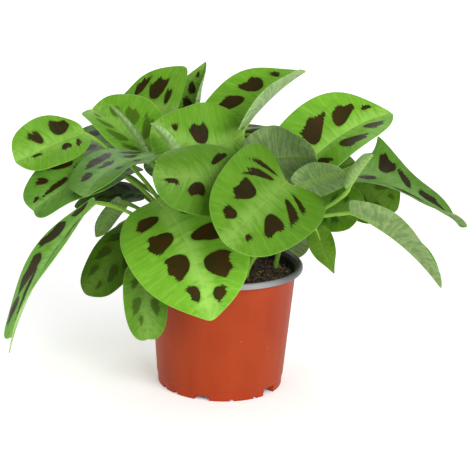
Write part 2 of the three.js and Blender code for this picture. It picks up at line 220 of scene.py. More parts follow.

# Leaves, lengths in millimetres and angles in degrees: name, material slot, tone of the green (partly
# the leaf's own colour, partly painted light and shade), root of the stalk (x, y), base of the blade,
# tip of the blade, midrib arch (out of the blade, sideways, place in percent), then width, roll (base,
# tip), curl of the halves (left, right), rise of both halves, margin wave (height, count), outline
# (lobe at the base, drawn-out tip and, if any, shift of the widest place to the base, in percent).
LEAVES = [
    ("front_left", "leaf_green", 0.8, (-14, -15), (-50, -25, 147), (-7, -93, 79), (14, 6, 50),
     88, (32, 28), (10, -10), 0, (1.5, 2), (12, 10)),
    ("front_right", "leaf_green", -0.05, (-6, -11), (44, -22, 163), (0, -112, 141), (6, 0, 50),
     78, (-40, -40), (15, 15), 0, (1.5, 2), (34, 4)),
    ("front_middle", "leaf_green", -0.3, (2, -11), (13, -38, 175), (-50.7, -80, 178), (4, 4, 50),
     58, (-65, -60), (0, -50), 0, (2, 2), (6, 4)),
    ("upper_middle", "leaf_green", 0.3, (-1, 0), (11, 44, 181.8), (-56, 14, 194), (2, 12, 50),
     65, (-70, -55), (0, 0), 0, (1.5, 2), (12, 4)),
    ("top_left", "leaf_green", 0.4, (-12, 15), (-40, 68, 192.8), (-103, 109, 180), (6, 0, 50),
     84, (-50, -50), (25, 0), 0, (2, 1.5), (0, 30, 45)),
    ("top_folded", "leaf_green", 0.2, (-3, 21), (-26, 94, 174.3), (-19, 104, 227), (2, 0, 50),
     36, (-10, -10), (60, 60), 20, (0, 2), (10, 20)),
    ("top_right", "leaf_green", 0.6, (4, 10), (12, 53, 184.5), (60, 97, 223), (4, 0, 50),
     77, (-4, -4), (0, 10), 39, (1.5, 2), (35, 20, 30)),
    ("right_high", "leaf_green", 0.8, (10.5, 12.5), (58, 36, 159), (128, 80, 195), (10, 0, 50),
     74, (23, 23), (0, 0), 27, (1.5, 2), (34, 18)),
    ("middle_turned", "leaf_grey_green", -0.5, (9, 3), (16, 22, 165.5), (66, -3, 176.5), (6, 0, 50),
     50, (-75, -75), (0, 0), 0, (3, 2), (10, 7)),
    ("right_turned", "leaf_grey_green", 0.0, (2, -24), (53, -4.5, 154), (85.5, -33, 173), (4, 0, 50),
     28, (-60, -60), (0, 0), 0, (1, 2), (10, 7)),
    ("right_rolled", "leaf_grey_green", 0.3, (40, 17), (87.6, -36, 162), (101.2, -63, 194.2), (1, 0, 50),
     21, (0, 0), (165, 165), 0, (0, 2), (6, 7)),
    ("right_long", "leaf_grey_green", -0.2, (11, -6), (98.5, -5, 173.8), (165, -99, 154.8), (0, 0, 60),
     50, (28, -50), (0, 0), 7, (3, 2), (14, 9, 60)),
    ("right_drooping", "leaf_grey_green", 0.25, (16, -2), (91, -20, 141), (156, -59, 97.5), (6, 0, 50),
     60, (-30, -30), (0, 0), 22, (1.5, 2), (6, 7)),
    ("right_shaded", "leaf_dark", 0.0, (17, 14), (87.8, 49, 146.3), (132, 33, 130.3), (4, 0, 50),
     60, (35, 35), (0, 0), 0, (1.5, 2), (10, 7)),
    ("right_small", "leaf_green", 0.6, (18, 5), (71, 36, 127), (104, 1, 138), (2, 0, 50),
     38, (62, 62), (0, 0), 0, (1.5, 2), (8, 7)),
    ("right_hanging", "leaf_dark", 0.5, (17, -14), (68, -9.5, 124), (82, -22, 94), (2, 0, 50),
     19, (58, 58), (0, 0), 0, (1, 2), (10, 30)),
    ("left_far", "leaf_green", 0.45, (-30, 4), (-107, 25, 183.5), (-154, -12, 168), (2, 0, 50),
     46, (-40, -40), (0, 0), 20, (1.5, 2), (0, 3, -20)),
    ("left_low", "leaf_grey_green", 0.1, (-26, -4), (-76, -5, 160), (-138, -35, 138), (8, 0, 50),
     62, (-15, -15), (0, 0), 15, (1.5, 2), (-10, -4)),
    ("left_near", "leaf_grey_green", -0.2, (-19, -5), (-52, -18, 177), (-98, -63, 157), (6, -8, 50),
     64, (8, 8), (0, 0), 8, (2, 2), (8, 10)),
    ("left_high", "leaf_green", 0.7, (-20, 15), (-57, 31, 164.6), (-106, 72, 192), (4, 0, 50),
     60, (-22, -22), (0, 0), 32, (2, 2), (8, 5)),
    ("left_thin", "leaf_grey_green", -0.5, (-24, 20), (-63, 58, 160), (-128, 108, 160), (4, 0, 50),
     62, (-25, -25), (0, 0), 5, (2, 2), (10, 8)),
    ("left_rolled", "leaf_grey_green", -0.1, (-13, 4), (-57, 6, 170), (-88, 15, 208), (1, 0, 50),
     12, (0, 0), (165, 165), 0, (0, 2), (4, 10)),
    ("middle_rolled", "leaf_green", 0.4, (-8, 0), (-36, -13, 176), (-56, -15, 201), (1, 0, 50),
     18, (0, 0), (120, 120), 0, (0, 2), (6, 8)),
    ("left_long", "leaf_grey_green", 1.2, (-37, -4), (-98, 14, 133), (-160, 8, 25), (8, 0, 50),
     62, (-5, -7), (0, 0), 10, (2, 2), (6, -12, -40)),
    ("left_curled", "leaf_grey_green", 0.1, (-34, 13), (-77, 15, 134), (-97, 13, 106), (5, 0, 50),
     16, (90, 90), (60, 60), 0, (1, 2), (6, 10)),
    ("left_under", "leaf_dark", -0.2, (-28, -16), (-61, -12, 121.5), (-100, -32, 75), (6, 0, 50),
     42, (-40, -40), (0, -40), 0, (2, 2), (8, 5)),
    ("pot_left", "leaf_green", -0.2, (-26, -22), (-58.5, -52, 106), (-52, -64, 53.5), (3, 0, 50),
     31, (20, 20), (0, 0), 0, (1, 2), (8, -4)),
    ("left_shaded", "leaf_dark", 0.0, (-32, 18), (-64, 60, 128), (-118, 60, 117), (6, 0, 50),
     60, (0, 0), (0, 0), 0, (1, 2), (8, 5)),
    ("right_behind", "leaf_dark", 0.1, (17, 21), (77, 62, 149), (102, 92, 153), (4, 0, 50),
     44, (40, 40), (0, 0), 0, (1, 2), (8, 5)),
    ("back_far_left", "leaf_dark", 0.2, (-24, 32), (-76, 66, 142), (-140, 98, 116), (8, 0, 50),
     68, (0, 0), (-10, -10), 5, (1.5, 2), (10, 5)),
    ("back_left", "leaf_green", 0.0, (-12, 26), (-26, 74, 144), (-46, 106, 127), (8, 0, 50),
     64, (10, 10), (-10, -10), 5, (1.5, 2), (10, 5)),
    ("back_left_low", "leaf_dark", 0.1, (-16, 34), (-46, 64, 116), (-70, 100, 70), (8, 0, 50),
     58, (0, 0), (-10, -10), 5, (1.5, 2), (10, 5)),
    ("back_middle", "leaf_green", 0.0, (4, 18), (5, 72, 170), (14, 109, 173), (8, 0, 50),
     54, (0, 0), (-10, -10), 5, (1.5, 2), (10, 5)),
    ("back_middle_low", "leaf_dark", 0.2, (2, 31), (-5, 69, 128), (-12, 110, 96), (8, 0, 50),
     58, (0, 0), (-10, -10), 5, (1.5, 2), (10, 5)),
    ("back_right", "leaf_green", 0.0, (10.5, 20), (34, 74, 146), (65, 101, 135), (8, 0, 50),
     64, (-10, -10), (-10, -10), 5, (1.5, 2), (10, 5)),
    ("back_right_low", "leaf_dark", 0.1, (10, 27), (34, 66, 110), (46, 100, 64), (8, 0, 50),
     58, (0, 0), (-10, -10), 5, (1.5, 2), (10, 5)),
    ("back_far_right", "leaf_dark", 0.2, (17, 28), (78, 64, 132), (134, 90, 122), (8, 0, 50),
     56, (0, 0), (-10, -10), 5, (1.5, 2), (10, 5)),
]

# Blotches of each half of a blade, in percent: place along the blade, place from the midrib to the
# margin, half width, half length, and how far the outer end lies nearer the tip than the middle.
COMMON_BLOTCHES = {
    "left": [(16, 42, 3, 18, 4), (31, 46, 5, 24, 4), (49, 44, 7, 23, 3),
             (68, 40, 6, 20, 2), (85, 38, 3, 13, 1)],
    "right": [(22, 42, 4, 20, 4), (40, 46, 6, 24, 4), (59, 42, 7, 21, 2), (77, 38, 5, 16, 1)],
}
BLOTCHES = {
    "front_left": {
        "left": [(24, 40, 3, 20, 4), (40, 42, 5, 24, 4), (57, 37, 4.5, 27, 0),
                 (74, 42, 6, 26, 0), (88, 48, 3.5, 20, 0)],
        "right": [(30, 43, 5.5, 22, 0), (50, 36, 6.5, 22, 0), (69, 30, 7, 21, 0), (86, 30, 4, 16, 0)],
    },
    "front_right": {
        "left": [(35, 47, 3, 19, 8), (47, 45, 4.5, 22, 8), (66, 41, 7, 20, 2), (85, 42, 2, 10, 0)],
        "right": [(30, 50, 3, 24, 11), (40, 43, 4.5, 22, 10), (61, 41, 8, 19, 2), (81, 46, 4, 18, 0)],
    },
    "front_middle": {
        "left": [(40, 40, 4, 22, 0), (67, 32, 6.5, 18, 0), (87, 18, 5, 13, 0)],
        "right": [(38, 45, 6, 18, -10)],
    },
    "upper_middle": {
        "left": [(46, 46, 3, 14, 9), (66, 40, 4, 14, 2), (90, 12, 1.5, 5, 0)],
        "right": [(60, 26, 9, 24, 0), (83, 42, 2.5, 13, 0)],
    },
    "top_left": {
        "left": [(40, 45, 5, 20, 3), (62, 40, 4, 16, 2)],
        "right": [(27, 30, 4, 16, 0), (43, 48, 8.5, 24, 0), (62, 65, 6, 21, -2), (82, 86, 3, 10, 0)],
    },
    "top_right": {
        "left": [(38, 56, 9, 19, -4), (60, 52, 7.5, 19, 0), (79, 58, 3, 14, 0),
                 (68, 16, 3.5, 12, 6), (80, 20, 3, 12, 4)],
        "right": [(63, 28, 2, 12, 5), (76, 40, 2, 14, 5)],
    },
    "right_high": {
        "left": [(22, 40, 4, 18, 6), (45, 42, 8, 24, 7), (66, 40, 7, 22, 5), (84, 52, 3, 12, 3)],
        "right": [(34, 45, 4, 20, 5), (56, 48, 6, 26, 5), (76, 45, 5, 24, 3)],
    },
    "right_long": {
        "left": [(27, 42, 7, 27, 0), (44, 44, 4.5, 22, -6), (64, 45, 9, 22, 0)],
        "right": [(52, 75, 5, 10, 0), (58, 40, 10, 22, 0), (30, 40, 4, 20, 0)],
    },
    "right_small": {
        "left": [(45, 40, 4, 20, 3), (68, 42, 3, 12, 0)],
        "right": [(36, 40, 3, 16, 3), (56, 42, 5, 18, 2)],
    },
    "left_far": {
        "left": [(30, 40, 4, 18, 2), (47, 30, 6, 14, 0), (80, 20, 5, 8, 0)],
        "right": [(40, 50, 11, 27, -4), (68, 45, 5, 25, 0)],
    },
    "left_low": {
        "left": [(36, 40, 5, 18, 0), (58, 45, 5, 16, 0)],
        "right": [(20, 75, 6, 10, 0), (32, 22, 4, 10, 0), (42, 42, 7, 12, 0), (52, 70, 8, 14, 0),
                  (73, 68, 3.5, 14, 0), (75, 26, 12, 9, 0), (90, 50, 2.5, 9, 0)],
    },
    "left_near": {
        "left": [(40, 40, 4, 14, 0), (62, 40, 4, 14, 0)],
        "right": [(30, 62, 8, 12, 0), (34, 25, 6, 11, 0), (55, 60, 10, 14, 0),
                  (58, 25, 7, 10, 0), (76, 45, 5, 15, 0)],
    },
    "left_long": {
        "left": [(30, 45, 6, 18, 3), (50, 45, 6, 18, 3), (70, 45, 6, 18, 3)],
        "right": [(22, 55, 7, 26, 0), (41, 62, 7, 30, 0), (62, 55, 9, 24, 0),
                  (79, 70, 6, 20, 0), (76, 25, 12, 9, 0)],
    },
    "pot_left": {
        "left": [(30, 40, 5, 18, 2), (62, 45, 7, 20, 0)],
        "right": [(36, 40, 5, 18, 2), (60, 42, 7, 22, 2), (77, 35, 4, 12, 0)],
    },
}


def length_setting(name, description, size, **more):
    """Length that a user may change, given in millimetres."""
    return bpy.props.FloatProperty(
        name=name, description=description, default=size * MM, unit="LENGTH", precision=5, **more)


def colour_setting(name, description, colour):
    """Colour that a user may change."""
    return bpy.props.FloatVectorProperty(
        name=name, description=description, default=(*colour, 1), subtype="COLOR", size=4)


class PrayerPlantLeafSettings(bpy.types.PropertyGroup):
    thickness: length_setting("Blade thickness", "Thickness of a blade at its midrib", 0.8, min=0.0)
    margin_share: bpy.props.FloatProperty(
        name="Margin thickness", description="Thickness at the margin as a share of the middle's",
        default=0.6, min=0.1, max=1.0, subtype="FACTOR")
    side_veins: bpy.props.IntProperty(
        name="Side veins", description="Main side veins in each half of a blade", default=13, min=1)
    pleat: length_setting("Pleat height", "Height of the folds between the side veins", 0.16)
    groove: length_setting("Midrib groove", "Depth of the groove over the midrib", 0.4)
    ridge: length_setting("Midrib ridge", "Height of the midrib under the blade", 0.9)
    stalk_foot: length_setting(
        "Stalk radius at the soil", "Radius of a stalk where it leaves the soil", 2.2)
    stalk_top: length_setting("Stalk radius at the blade", "Radius of a stalk below the blade", 1.4)
    joint_swell: length_setting(
        "Joint swelling", "Extra radius of the swollen joint below the blade", 0.35)
    green: colour_setting(
        "Blade green", "Colour of the blade between midrib and margin", (0.094, 0.232, 0.013))
    pale: colour_setting(
        "Pale band", "Colour of the feathered band along the midrib", (0.18, 0.335, 0.055))
    blotch: colour_setting("Blotch", "Colour of the dark blotches", (0.015, 0.013, 0.001))
    under: colour_setting("Underside", "Colour of the lower face of a blade", (0.24, 0.36, 0.13))
    stalk: colour_setting("Stalk", "Colour of the stalks", (0.2, 0.36, 0.05))


class PrayerPlantPotSettings(bpy.types.PropertyGroup):
    height: length_setting("Pot height", "Height of the pot", POT_HEIGHT)
    rim_radius: length_setting("Rim radius", "Outer radius of the rolled rim", RIM_RADIUS)
    foot_radius: length_setting("Foot radius", "Outer radius at the foot", FOOT_RADIUS)
    top_radius: length_setting(
        "Wall radius at the top", "Outer radius of the wall at the pot's height", WALL_TOP_RADIUS)
    wall: length_setting("Wall", "Thickness of the wall", WALL)
    terracotta: colour_setting("Outside", "Colour of the outer face", (0.31, 0.038, 0.007))
    lining: colour_setting("Lining", "Colour of the rim and the inner face", (0.028, 0.03, 0.032))


class PrayerPlantSoilSettings(bpy.types.PropertyGroup):
    top: length_setting("Soil level", "Mean height of the soil", SOIL_TOP)
    lump: length_setting("Lumps", "Height of the soil's swells", 1.3)
    crumbs: bpy.props.IntProperty(
        name="Crumbs", description="Number of loose crumbs of peat", default=900, min=0)
    fibres: bpy.props.IntProperty(
        name="Fibres", description="Number of fibres and bark slivers", default=420, min=0)
    seed: bpy.props.IntProperty(name="Seed", description="Seed of the scatter", default=7)
    peat: colour_setting("Peat", "Colour of the soil", (0.014, 0.009, 0.006))
    fibre: colour_setting("Fibre", "Colour of the fibres", (0.5, 0.3, 0.13))


class PrayerPlantStageSettings(bpy.types.PropertyGroup):
    camera_at: bpy.props.FloatVectorProperty(
        name="Camera", description="Place of the camera", size=3, subtype="TRANSLATION",
        default=(0, -1.125, 0.438))
    camera_aim: bpy.props.FloatVectorProperty(
        name="Aim", description="Point that the camera looks at", size=3, subtype="TRANSLATION",
        default=(0.008, 0, 0.115))
    camera_roll: bpy.props.FloatProperty(
        name="Roll", description="Turn of the picture, clockwise", default=math.radians(2), subtype="ANGLE")
    lens: bpy.props.FloatProperty(
        name="Lens", description="Focal length", default=120, unit="CAMERA")
    floor: colour_setting("Floor", "Colour of the floor", (0.92, 0.92, 0.915))
    shade_radius: length_setting(
        "Shade radius", "Radius below the pot where the paper doesn't glow", 38)
    floor_glow: bpy.props.FloatProperty(
        name="Floor glow", description="Light of the lit paper itself", default=0.26, min=0)
    sky: bpy.props.FloatProperty(
        name="Room light", description="Strength of the even white light", default=0.5, min=0)
    key: bpy.props.FloatProperty(
        name="Key light", description="Power of the large light at the front right", default=30,
        min=0, unit="POWER")


def unit(a):
    """Vectors along the last axis, each divided by its length."""
    return a / np.linalg.norm(a, axis=-1, keepdims=True)


def dot(a, b):
    """Scalar product along the last axis, which is kept."""
    return np.sum(a * b, axis=-1, keepdims=True)


def skin(rings, start, end):
    """Closed surface of n rings of m points each, with a pole before the first and after the last.

    Quad (i, j) joins points j and j + 1 of rings i and i + 1, and a fan of triangles joins each
    pole to its ring. Where the enclosed volume, the sum of a . (b x c) / 6 over all the triangles,
    is negative, every face is turned round.
    """
    n, m = rings.shape[:2]
    points = np.concatenate([rings.reshape(-1, 3), [start, end]])
    j = np.arange(m)
    k = (j + 1) % m
    i = np.arange(n - 1)[:, None] * m
    quads = np.stack([i + j, i + k, i + m + k, i + m + j], axis=-1).reshape(-1, 4)
    first = np.stack([np.full(m, n * m), k, j], axis=-1)
    last = np.stack([np.full(m, n * m + 1), (n - 1) * m + j, (n - 1) * m + k], axis=-1)
    fans = np.concatenate([first, last])
    triangles = np.concatenate([quads[:, [0, 1, 2]], quads[:, [0, 2, 3]], fans])
    a, b, c = (points[triangles[:, x]] for x in range(3))
    if np.sum(a * np.cross(b, c)) < 0:
        quads, fans = quads[:, ::-1], fans[:, ::-1]
    return points, quads, fans


def join(parts):
    """One set of points and faces out of several, with the point numbers moved on."""
    points, quads, fans, count = [], [], [], 0
    for p, q, f in parts:
        points.append(p)
        quads.append(q + count)
        fans.append(f + count)
        count += len(p)
    return np.concatenate(points), np.concatenate(quads), np.concatenate(fans)


def put_piece(name, surface, material, nodes=(), values=None, uv=None, crease=None):
    """Mesh object of a surface in millimetres, with its point values, that stands for CAD nodes.

    Its faces are smooth, apart from edges sharper than the crease angle where one is given.
    """
    points, quads, fans = surface
    mesh = bpy.data.meshes.new(name)
    mesh.from_pydata((points * MM).tolist(), [], quads.tolist() + fans.tolist())
    mesh.polygons.foreach_set("use_smooth", np.ones(len(mesh.polygons), bool))
    for key, value in (values or {}).items():
        layer = mesh.attributes.new(key, "FLOAT", "POINT")
        layer.data.foreach_set("value", np.ascontiguousarray(value, np.float32))
    if uv is not None:
        corners = np.empty(len(mesh.loops), np.int32)
        mesh.loops.foreach_get("vertex_index", corners)
        layer = mesh.uv_layers.new(name="Blade")
        layer.data.foreach_set("uv", np.ascontiguousarray(uv[corners], np.float32).ravel())
    if crease is not None:
        mesh.set_sharp_from_angle(angle=crease)
    mesh.update()
    if mesh.validate():
        raise RuntimeError(f"{name} has faces that are not valid")
    piece = bpy.data.objects.new(name, mesh)
    bpy.context.scene.collection.objects.link(piece)
    piece.data.materials.append(material)
    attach(piece, "root")
    if nodes:
        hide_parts(*nodes)


class Leaf:
    """Measures of one row of the leaf list, with the frame of its chord."""

    def __init__(self, row):
        (self.name, self.slot, self.tone, self.root, base, tip, arch, self.width, self.roll,
         self.cup, self.rise, self.wave, self.outline) = row
        self.base, self.tip = np.array(base, float), np.array(tip, float)
        chord = self.tip - self.base
        along = unit(chord)
        self.side = unit(np.cross([0, 0, 1], along))
        up = np.cross(along, self.side)
        turn = math.radians(sum(self.roll) / 2)
        out = up * math.cos(turn) - self.side * math.sin(turn)
        across = self.side * math.cos(turn) + up * math.sin(turn)
        self.bend = self.base + chord * arch[2] / 100 + out * 2 * arch[0] + across * 2 * arch[1]
        self.rolled = max(self.cup) > ROLLED_CURL


def midrib(leaf, s):
    """Point, direction, sideways and outward vectors of the midrib at s, from 0 at the base to 1.

    The point is base (1 - s)^2 + bend 2 s (1 - s) + tip s^2, and sideways and outward turn about
    the direction by the roll, which goes evenly from its base to its tip value.
    """
    s = np.asarray(s, float)[..., None]
    point = leaf.base * (1 - s) ** 2 + leaf.bend * 2 * s * (1 - s) + leaf.tip * s * s
    along = unit((leaf.bend - leaf.base) * (1 - s) + (leaf.tip - leaf.bend) * s)
    left = unit(leaf.side - along * dot(along, leaf.side))
    up = np.cross(along, left)
    turn = np.radians(leaf.roll[0] + (leaf.roll[1] - leaf.roll[0]) * s)
    across = left * np.cos(turn) + up * np.sin(turn)
    out = up * np.cos(turn) - left * np.sin(turn)
    return point, along, across, out


def blade(leaf, u, v):
    """Point and normal of a blade's middle surface, distance to the midrib, half breadth and s.

    u runs from the base to the tip along the margins and v from the right margin (-1) to the left.
    The half breadth is width / 2 * sin(pi u^(1 - belly))^fullness * (1 - pinch u^8). A line of
    constant u is a side vein: it leaves the midrib at s = u^lean and comes nearer to the margin's s
    with |v|^bend. Each half is an arc of the half's curl that starts at the leaf's rise, and the
    margin swings out and in by height |v|^3 sin(2 pi count u + lag) sqrt(sin(pi u)).
    """
    a = np.abs(v)
    lobe, drip, belly = (share / 100 for share in (*leaf.outline, 0)[:3])
    sine = np.clip(np.sin(np.pi * u), 0, None)
    swell = np.clip(np.sin(np.pi * u ** (1 - belly)), 0, None)
    breadth = swell ** (FULLNESS + TIP_FULLNESS * u) * (1 - TIP_PINCH * u**8)
    inner = u**VEIN_LEAN
    even = (1 - np.cos(np.pi * u)) / 2
    outer = (1 - drip) * even + drip * u**10 - lobe * sine * (1 - u) ** 2 * 2
    s = inner + (outer - inner) * a**VEIN_BEND
    point, along, across, out = midrib(leaf, s)
    reach = breadth * leaf.width / 2
    opening = breadth ** (ROLLED_OPENING if leaf.rolled else 1)
    curl = np.radians(np.where(v > 0, leaf.cup[0], leaf.cup[1])) * opening
    curl = np.where(np.abs(curl) < LEAST_CURL, LEAST_CURL, curl)
    rise = math.radians(leaf.rise)
    lateral = reach * (np.sin(rise + curl * a) - math.sin(rise)) / curl
    lift = reach * (math.cos(rise) - np.cos(rise + curl * a)) / curl
    height, count = leaf.wave
    swing = np.sin(TURN * count * u + np.where(v < 0, WAVE_LAG, 0))
    lift = lift + height * a**3 * swing * np.sqrt(sine)
    sign = np.where(v < 0, -1.0, 1.0)
    point = point + across * (lateral * sign)[..., None] + out * lift[..., None]
    angle = rise + curl * a
    tilt = np.where(a == 0, 0, -sign * np.sin(angle))
    normal = unit(out * np.cos(angle)[..., None] + across * tilt[..., None])
    return point, normal, reach * a, reach, s


def blotch_field(leaf, u, v):
    """Signed distance in millimetres to the nearest blotch, negative inside, and its q there.

    A blotch is a rounded wedge on the lines of u and v: |p|^n + |q|^n = 1, where p is the way from
    its leaning axis along the blade and q the way across, both in half sizes, and the wedge widens
    towards the margin. Its outer end is cut into lobes: there q is multiplied by one less a share
    of a cosine of p.
    """
    field, outer = np.full(u.shape, FAR), np.zeros(u.shape)
    if leaf.name in PLAIN_LEAVES:
        return field, outer
    rows = BLOTCHES.get(leaf.name, COMMON_BLOTCHES)
    length = np.linalg.norm(leaf.tip - leaf.base)
    for side, sign in (("left", 1), ("right", -1)):
        for place, out, half_wide, half_long, lean in rows[side]:
            q = (sign * v - out / 100) / (half_long / 100)
            flare = 1 + BLOTCH_FLARE * np.clip(q, -1, 1)
            p = (u - (place + lean * q) / 100) / (half_wide / 100 * flare)
            q = q * (1 - LOBE_DEPTH * np.cos(LOBES * p + place) * (q > 0))
            size = (np.abs(p) ** BLOTCH_POWER + np.abs(q) ** BLOTCH_POWER) ** (1 / BLOTCH_POWER)
            scale = min(half_wide / 100 * length, half_long / 100 * leaf.width / 2)
            distance = (size - 1) * scale
            outer = np.where(distance < field, np.clip(q, -1, 1), outer)
            field = np.minimum(field, distance)
    return field, outer


def round_blade(field, poles, margin=None):
    """A field of u and v as values of the shell's points, ring by ring and then at both poles.

    A ring has the upper face, the left margin, the lower face backwards and the right margin. A
    margin takes the field's own value beside it where no other is given.
    """
    left, right = field[:, [-1]], field[:, [0]]
    if margin is not None:
        left = right = np.full(left.shape, margin)
    rings = np.concatenate([field, left, field[:, ::-1], right], axis=1)
    return np.concatenate([rings.ravel(), poles])


def blade_shell(leaf, settings, steps_long, steps_wide, number):
    """Closed shell of a blade, its point values and its place on the blade.

    Each ring of constant u goes over the upper face, round the margin and back over the lower
    face. The faces lie half a thickness above and below the middle surface, which rises and falls
    by pleat cos(2 pi veins u) between the side veins and by two slow swells of the leaf's own. The
    groove and the ridge of the midrib are bell curves of the distance to it, exp(-(rib / width)^2),
    that run out at the tip. Rows lie closer at both ends of the blade and columns at the midrib.
    """
    t = np.linspace(0, 1, steps_long + 1)[1:-1]
    rows = t - ROWS_CLOSER * np.sin(TURN * t) / TURN
    w = np.linspace(-1, 1, steps_wide + 1)
    columns = np.sign(w) * np.abs(w) ** COLUMNS_CLOSER
    u, v = np.meshgrid(rows, columns, indexing="ij")
    point, normal, rib, reach, s = blade(leaf, u, v)
    a = np.abs(v)
    middle = a**0.5 * (1 - a) ** 0.35 * np.sqrt(np.sin(np.pi * u))
    rng = np.random.default_rng(100 + number)
    phases = rng.uniform(0, TURN, (len(SWELLS), 2))
    swell = sum(share * np.sin(TURN * waves * u + first) * np.sin(across * v + second)
                for (waves, across, share), (first, second) in zip(SWELLS, phases))
    slow = 0.0 if leaf.rolled else SWELL_HEIGHT
    pleat = settings.pleat / MM * np.cos(TURN * settings.side_veins * u) * middle
    point = point + normal * (pleat + slow * swell * middle)[..., None]
    half = settings.thickness / MM / 2 * (1 - (1 - settings.margin_share) * a**3)
    ahead = np.clip(1 - s, 0, 1)
    groove = np.exp(-((rib / GROOVE_WIDTH) ** 2)) * ahead**0.5
    top = point + normal * (half - settings.groove / MM * groove)[..., None]
    ridge = np.exp(-((rib / RIDGE_WIDTH) ** 2)) * ahead**0.7 * np.clip(4 * s, 0, 1)
    low = point - normal * (half + settings.ridge / MM * ridge)[..., None]
    left = point[:, [-1]] + unit(point[:, [-1]] - point[:, [-2]]) * MARGIN_ROUND
    right = point[:, [0]] + unit(point[:, [0]] - point[:, [1]]) * MARGIN_ROUND
    rings = np.concatenate([top, left, low[:, ::-1], right], axis=1)
    base, tip = midrib(leaf, 0.0)[0], midrib(leaf, 1.0)[0]
    surface = skin(rings, base, tip)
    margin = np.full((len(u), 1), ON_MARGIN)
    under = np.concatenate([np.zeros_like(u), margin, np.ones_like(u), margin], axis=1)
    blotch, outer = blotch_field(leaf, u, v)
    values = {
        "under": np.concatenate([under.ravel(), [ON_MARGIN, ON_MARGIN]]),
        "blotch": round_blade(blotch, [FAR, FAR]),
        "outer": round_blade(outer, [0, 0]),
        "rib": round_blade(rib, [0, 0]),
        "margin": round_blade(reach * (1 - a), [0, 0], margin=0.0),
    }
    uv = np.stack([round_blade(u, [0, 1]), round_blade((v + 1) / 2, [0.5, 0.5])], axis=-1)
    return surface, values, uv


def stalk_tube(leaf, settings):
    """Closed tapering tube from below the soil to the blade and a little way under its midrib.

    The line is the cubic curve root (1 - t)^3 + low 3 t (1 - t)^2 + high 3 t^2 (1 - t) + end t^3
    from the soil to the base of the blade. The radius goes from foot to top with the square root of
    t, swells by a bell curve in the joint just below the blade and tapers off under the midrib. A
    bell curve of the angle cuts a shallow groove along the top.
    """
    soil = bpy.context.scene.prayer_plant_soil.top / MM
    root = np.array([*leaf.root, soil + CURVE_START])
    foot = np.array([*leaf.root, soil - FOOT_DEPTH])
    _, along, _, out = midrib(leaf, 0.0)
    span = np.linalg.norm(leaf.base - root)
    flat = (leaf.base - root) * [1, 1, 0]
    aim = unit(along + STALK_REACH * unit(leaf.base - root))
    low = root + np.array([0, 0, span * STALK_RISE]) + flat * STALK_LEAN
    high = leaf.base - aim * span * STALK_LAST
    end = leaf.base - out * TAIL_DEPTH
    t = np.linspace(0, 1, STALK_STEPS)[:, None]
    line = root * (1 - t) ** 3 + low * 3 * t * (1 - t) ** 2 + high * 3 * t * t * (1 - t) + end * t**3
    t = t[:, 0]
    thick = settings.stalk_foot / MM + (settings.stalk_top - settings.stalk_foot) / MM * np.sqrt(t)
    swollen = np.exp(-(((1 - t) * span - JOINT_PLACE) / JOINT_WIDTH) ** 2)
    thick = thick + settings.joint_swell / MM * swollen
    s = np.linspace(RIB_START, RIB_END, TAIL_STEPS)
    under, _, _, outward = midrib(leaf, s)
    run = np.linspace(0, 1, TAIL_STEPS)
    tail = under - outward * (TAIL_DEPTH - TAIL_GAIN * run)[:, None]
    tail_thick = settings.stalk_top / MM * TAIL_SHARE * (1 - run) + TAIL_RADIUS * run
    path = np.concatenate([[foot], line, tail])
    radius = np.concatenate([[settings.stalk_foot / MM], thick, tail_thick])
    direction = unit(np.gradient(path, axis=0))
    direction[:2] = [0, 0, 1]
    left = unit(leaf.side - direction * dot(direction, leaf.side))
    up = np.cross(direction, left)
    angle = np.linspace(0, TURN, STALK_SIDES, endpoint=False)
    from_top = np.angle(np.exp(1j * (angle - math.pi / 2)))
    flute = 1 - FLUTE_DEPTH * np.exp(-((from_top / FLUTE_WIDTH) ** 2))
    wheel = left[:, None] * (np.cos(angle) * flute)[:, None] + up[:, None] * (np.sin(angle) * flute)[:, None]
    rings = path[:, None] + wheel * radius[:, None, None]
    surface = skin(rings, path[0], path[-1] + direction[-1] * 0.2)
    count = len(surface[0])
    height = np.concatenate([np.repeat(np.linspace(0, 1, len(path)), STALK_SIDES), [0, 1]])
    way_round = np.concatenate([np.tile(angle / TURN, len(path)), [0.5, 0.5]])
    values = {"under": ON_STALK, "blotch": FAR, "outer": 0.0, "rib": FAR, "margin": FAR}
    values = {key: np.full(count, value) for key, value in values.items()}
    return surface, values, np.stack([height, way_round], axis=-1)


def add(tree, kind, inputs=None, **settings):
    """Node with its settings, and its inputs by name or number as values or links."""
    made = tree.nodes.new(kind)
    for key, value in settings.items():
        setattr(made, key, value)
    for key, value in (inputs or {}).items():
        if isinstance(value, bpy.types.NodeSocket):
            tree.links.new(value, made.inputs[key])
        else:
            made.inputs[key].default_value = value
    return made


def calc(tree, operation, a, b=0.0):
    """Output of a sum, product or other operation on two numbers."""
    return add(tree, "ShaderNodeMath", {0: a, 1: b}, operation=operation).outputs[0]


def scaled(tree, value, factor, offset):
    """Output of a number times a factor plus an offset."""
    return add(tree, "ShaderNodeMath", {0: value, 1: factor, 2: offset}, operation="MULTIPLY_ADD").outputs[0]


def ramp(tree, value, low, high, to_low=0.0, to_high=1.0):
    """Smooth step of a number from to_low at low to to_high at high."""
    inputs = {0: value, 1: low, 2: high, 3: to_low, 4: to_high}
    return add(tree, "ShaderNodeMapRange", inputs, interpolation_type="SMOOTHSTEP").outputs[0]


def tint(tree, amount, a, b):
    """Colour a where amount is 0 and b where it is 1."""
    return add(tree, "ShaderNodeMix", {0: amount, 6: a, 7: b}, data_type="RGBA").outputs[2]


def value_of(tree, name):
    """Number that a piece holds at each of its points."""
    return add(tree, "ShaderNodeAttribute", attribute_name=name).outputs["Fac"]


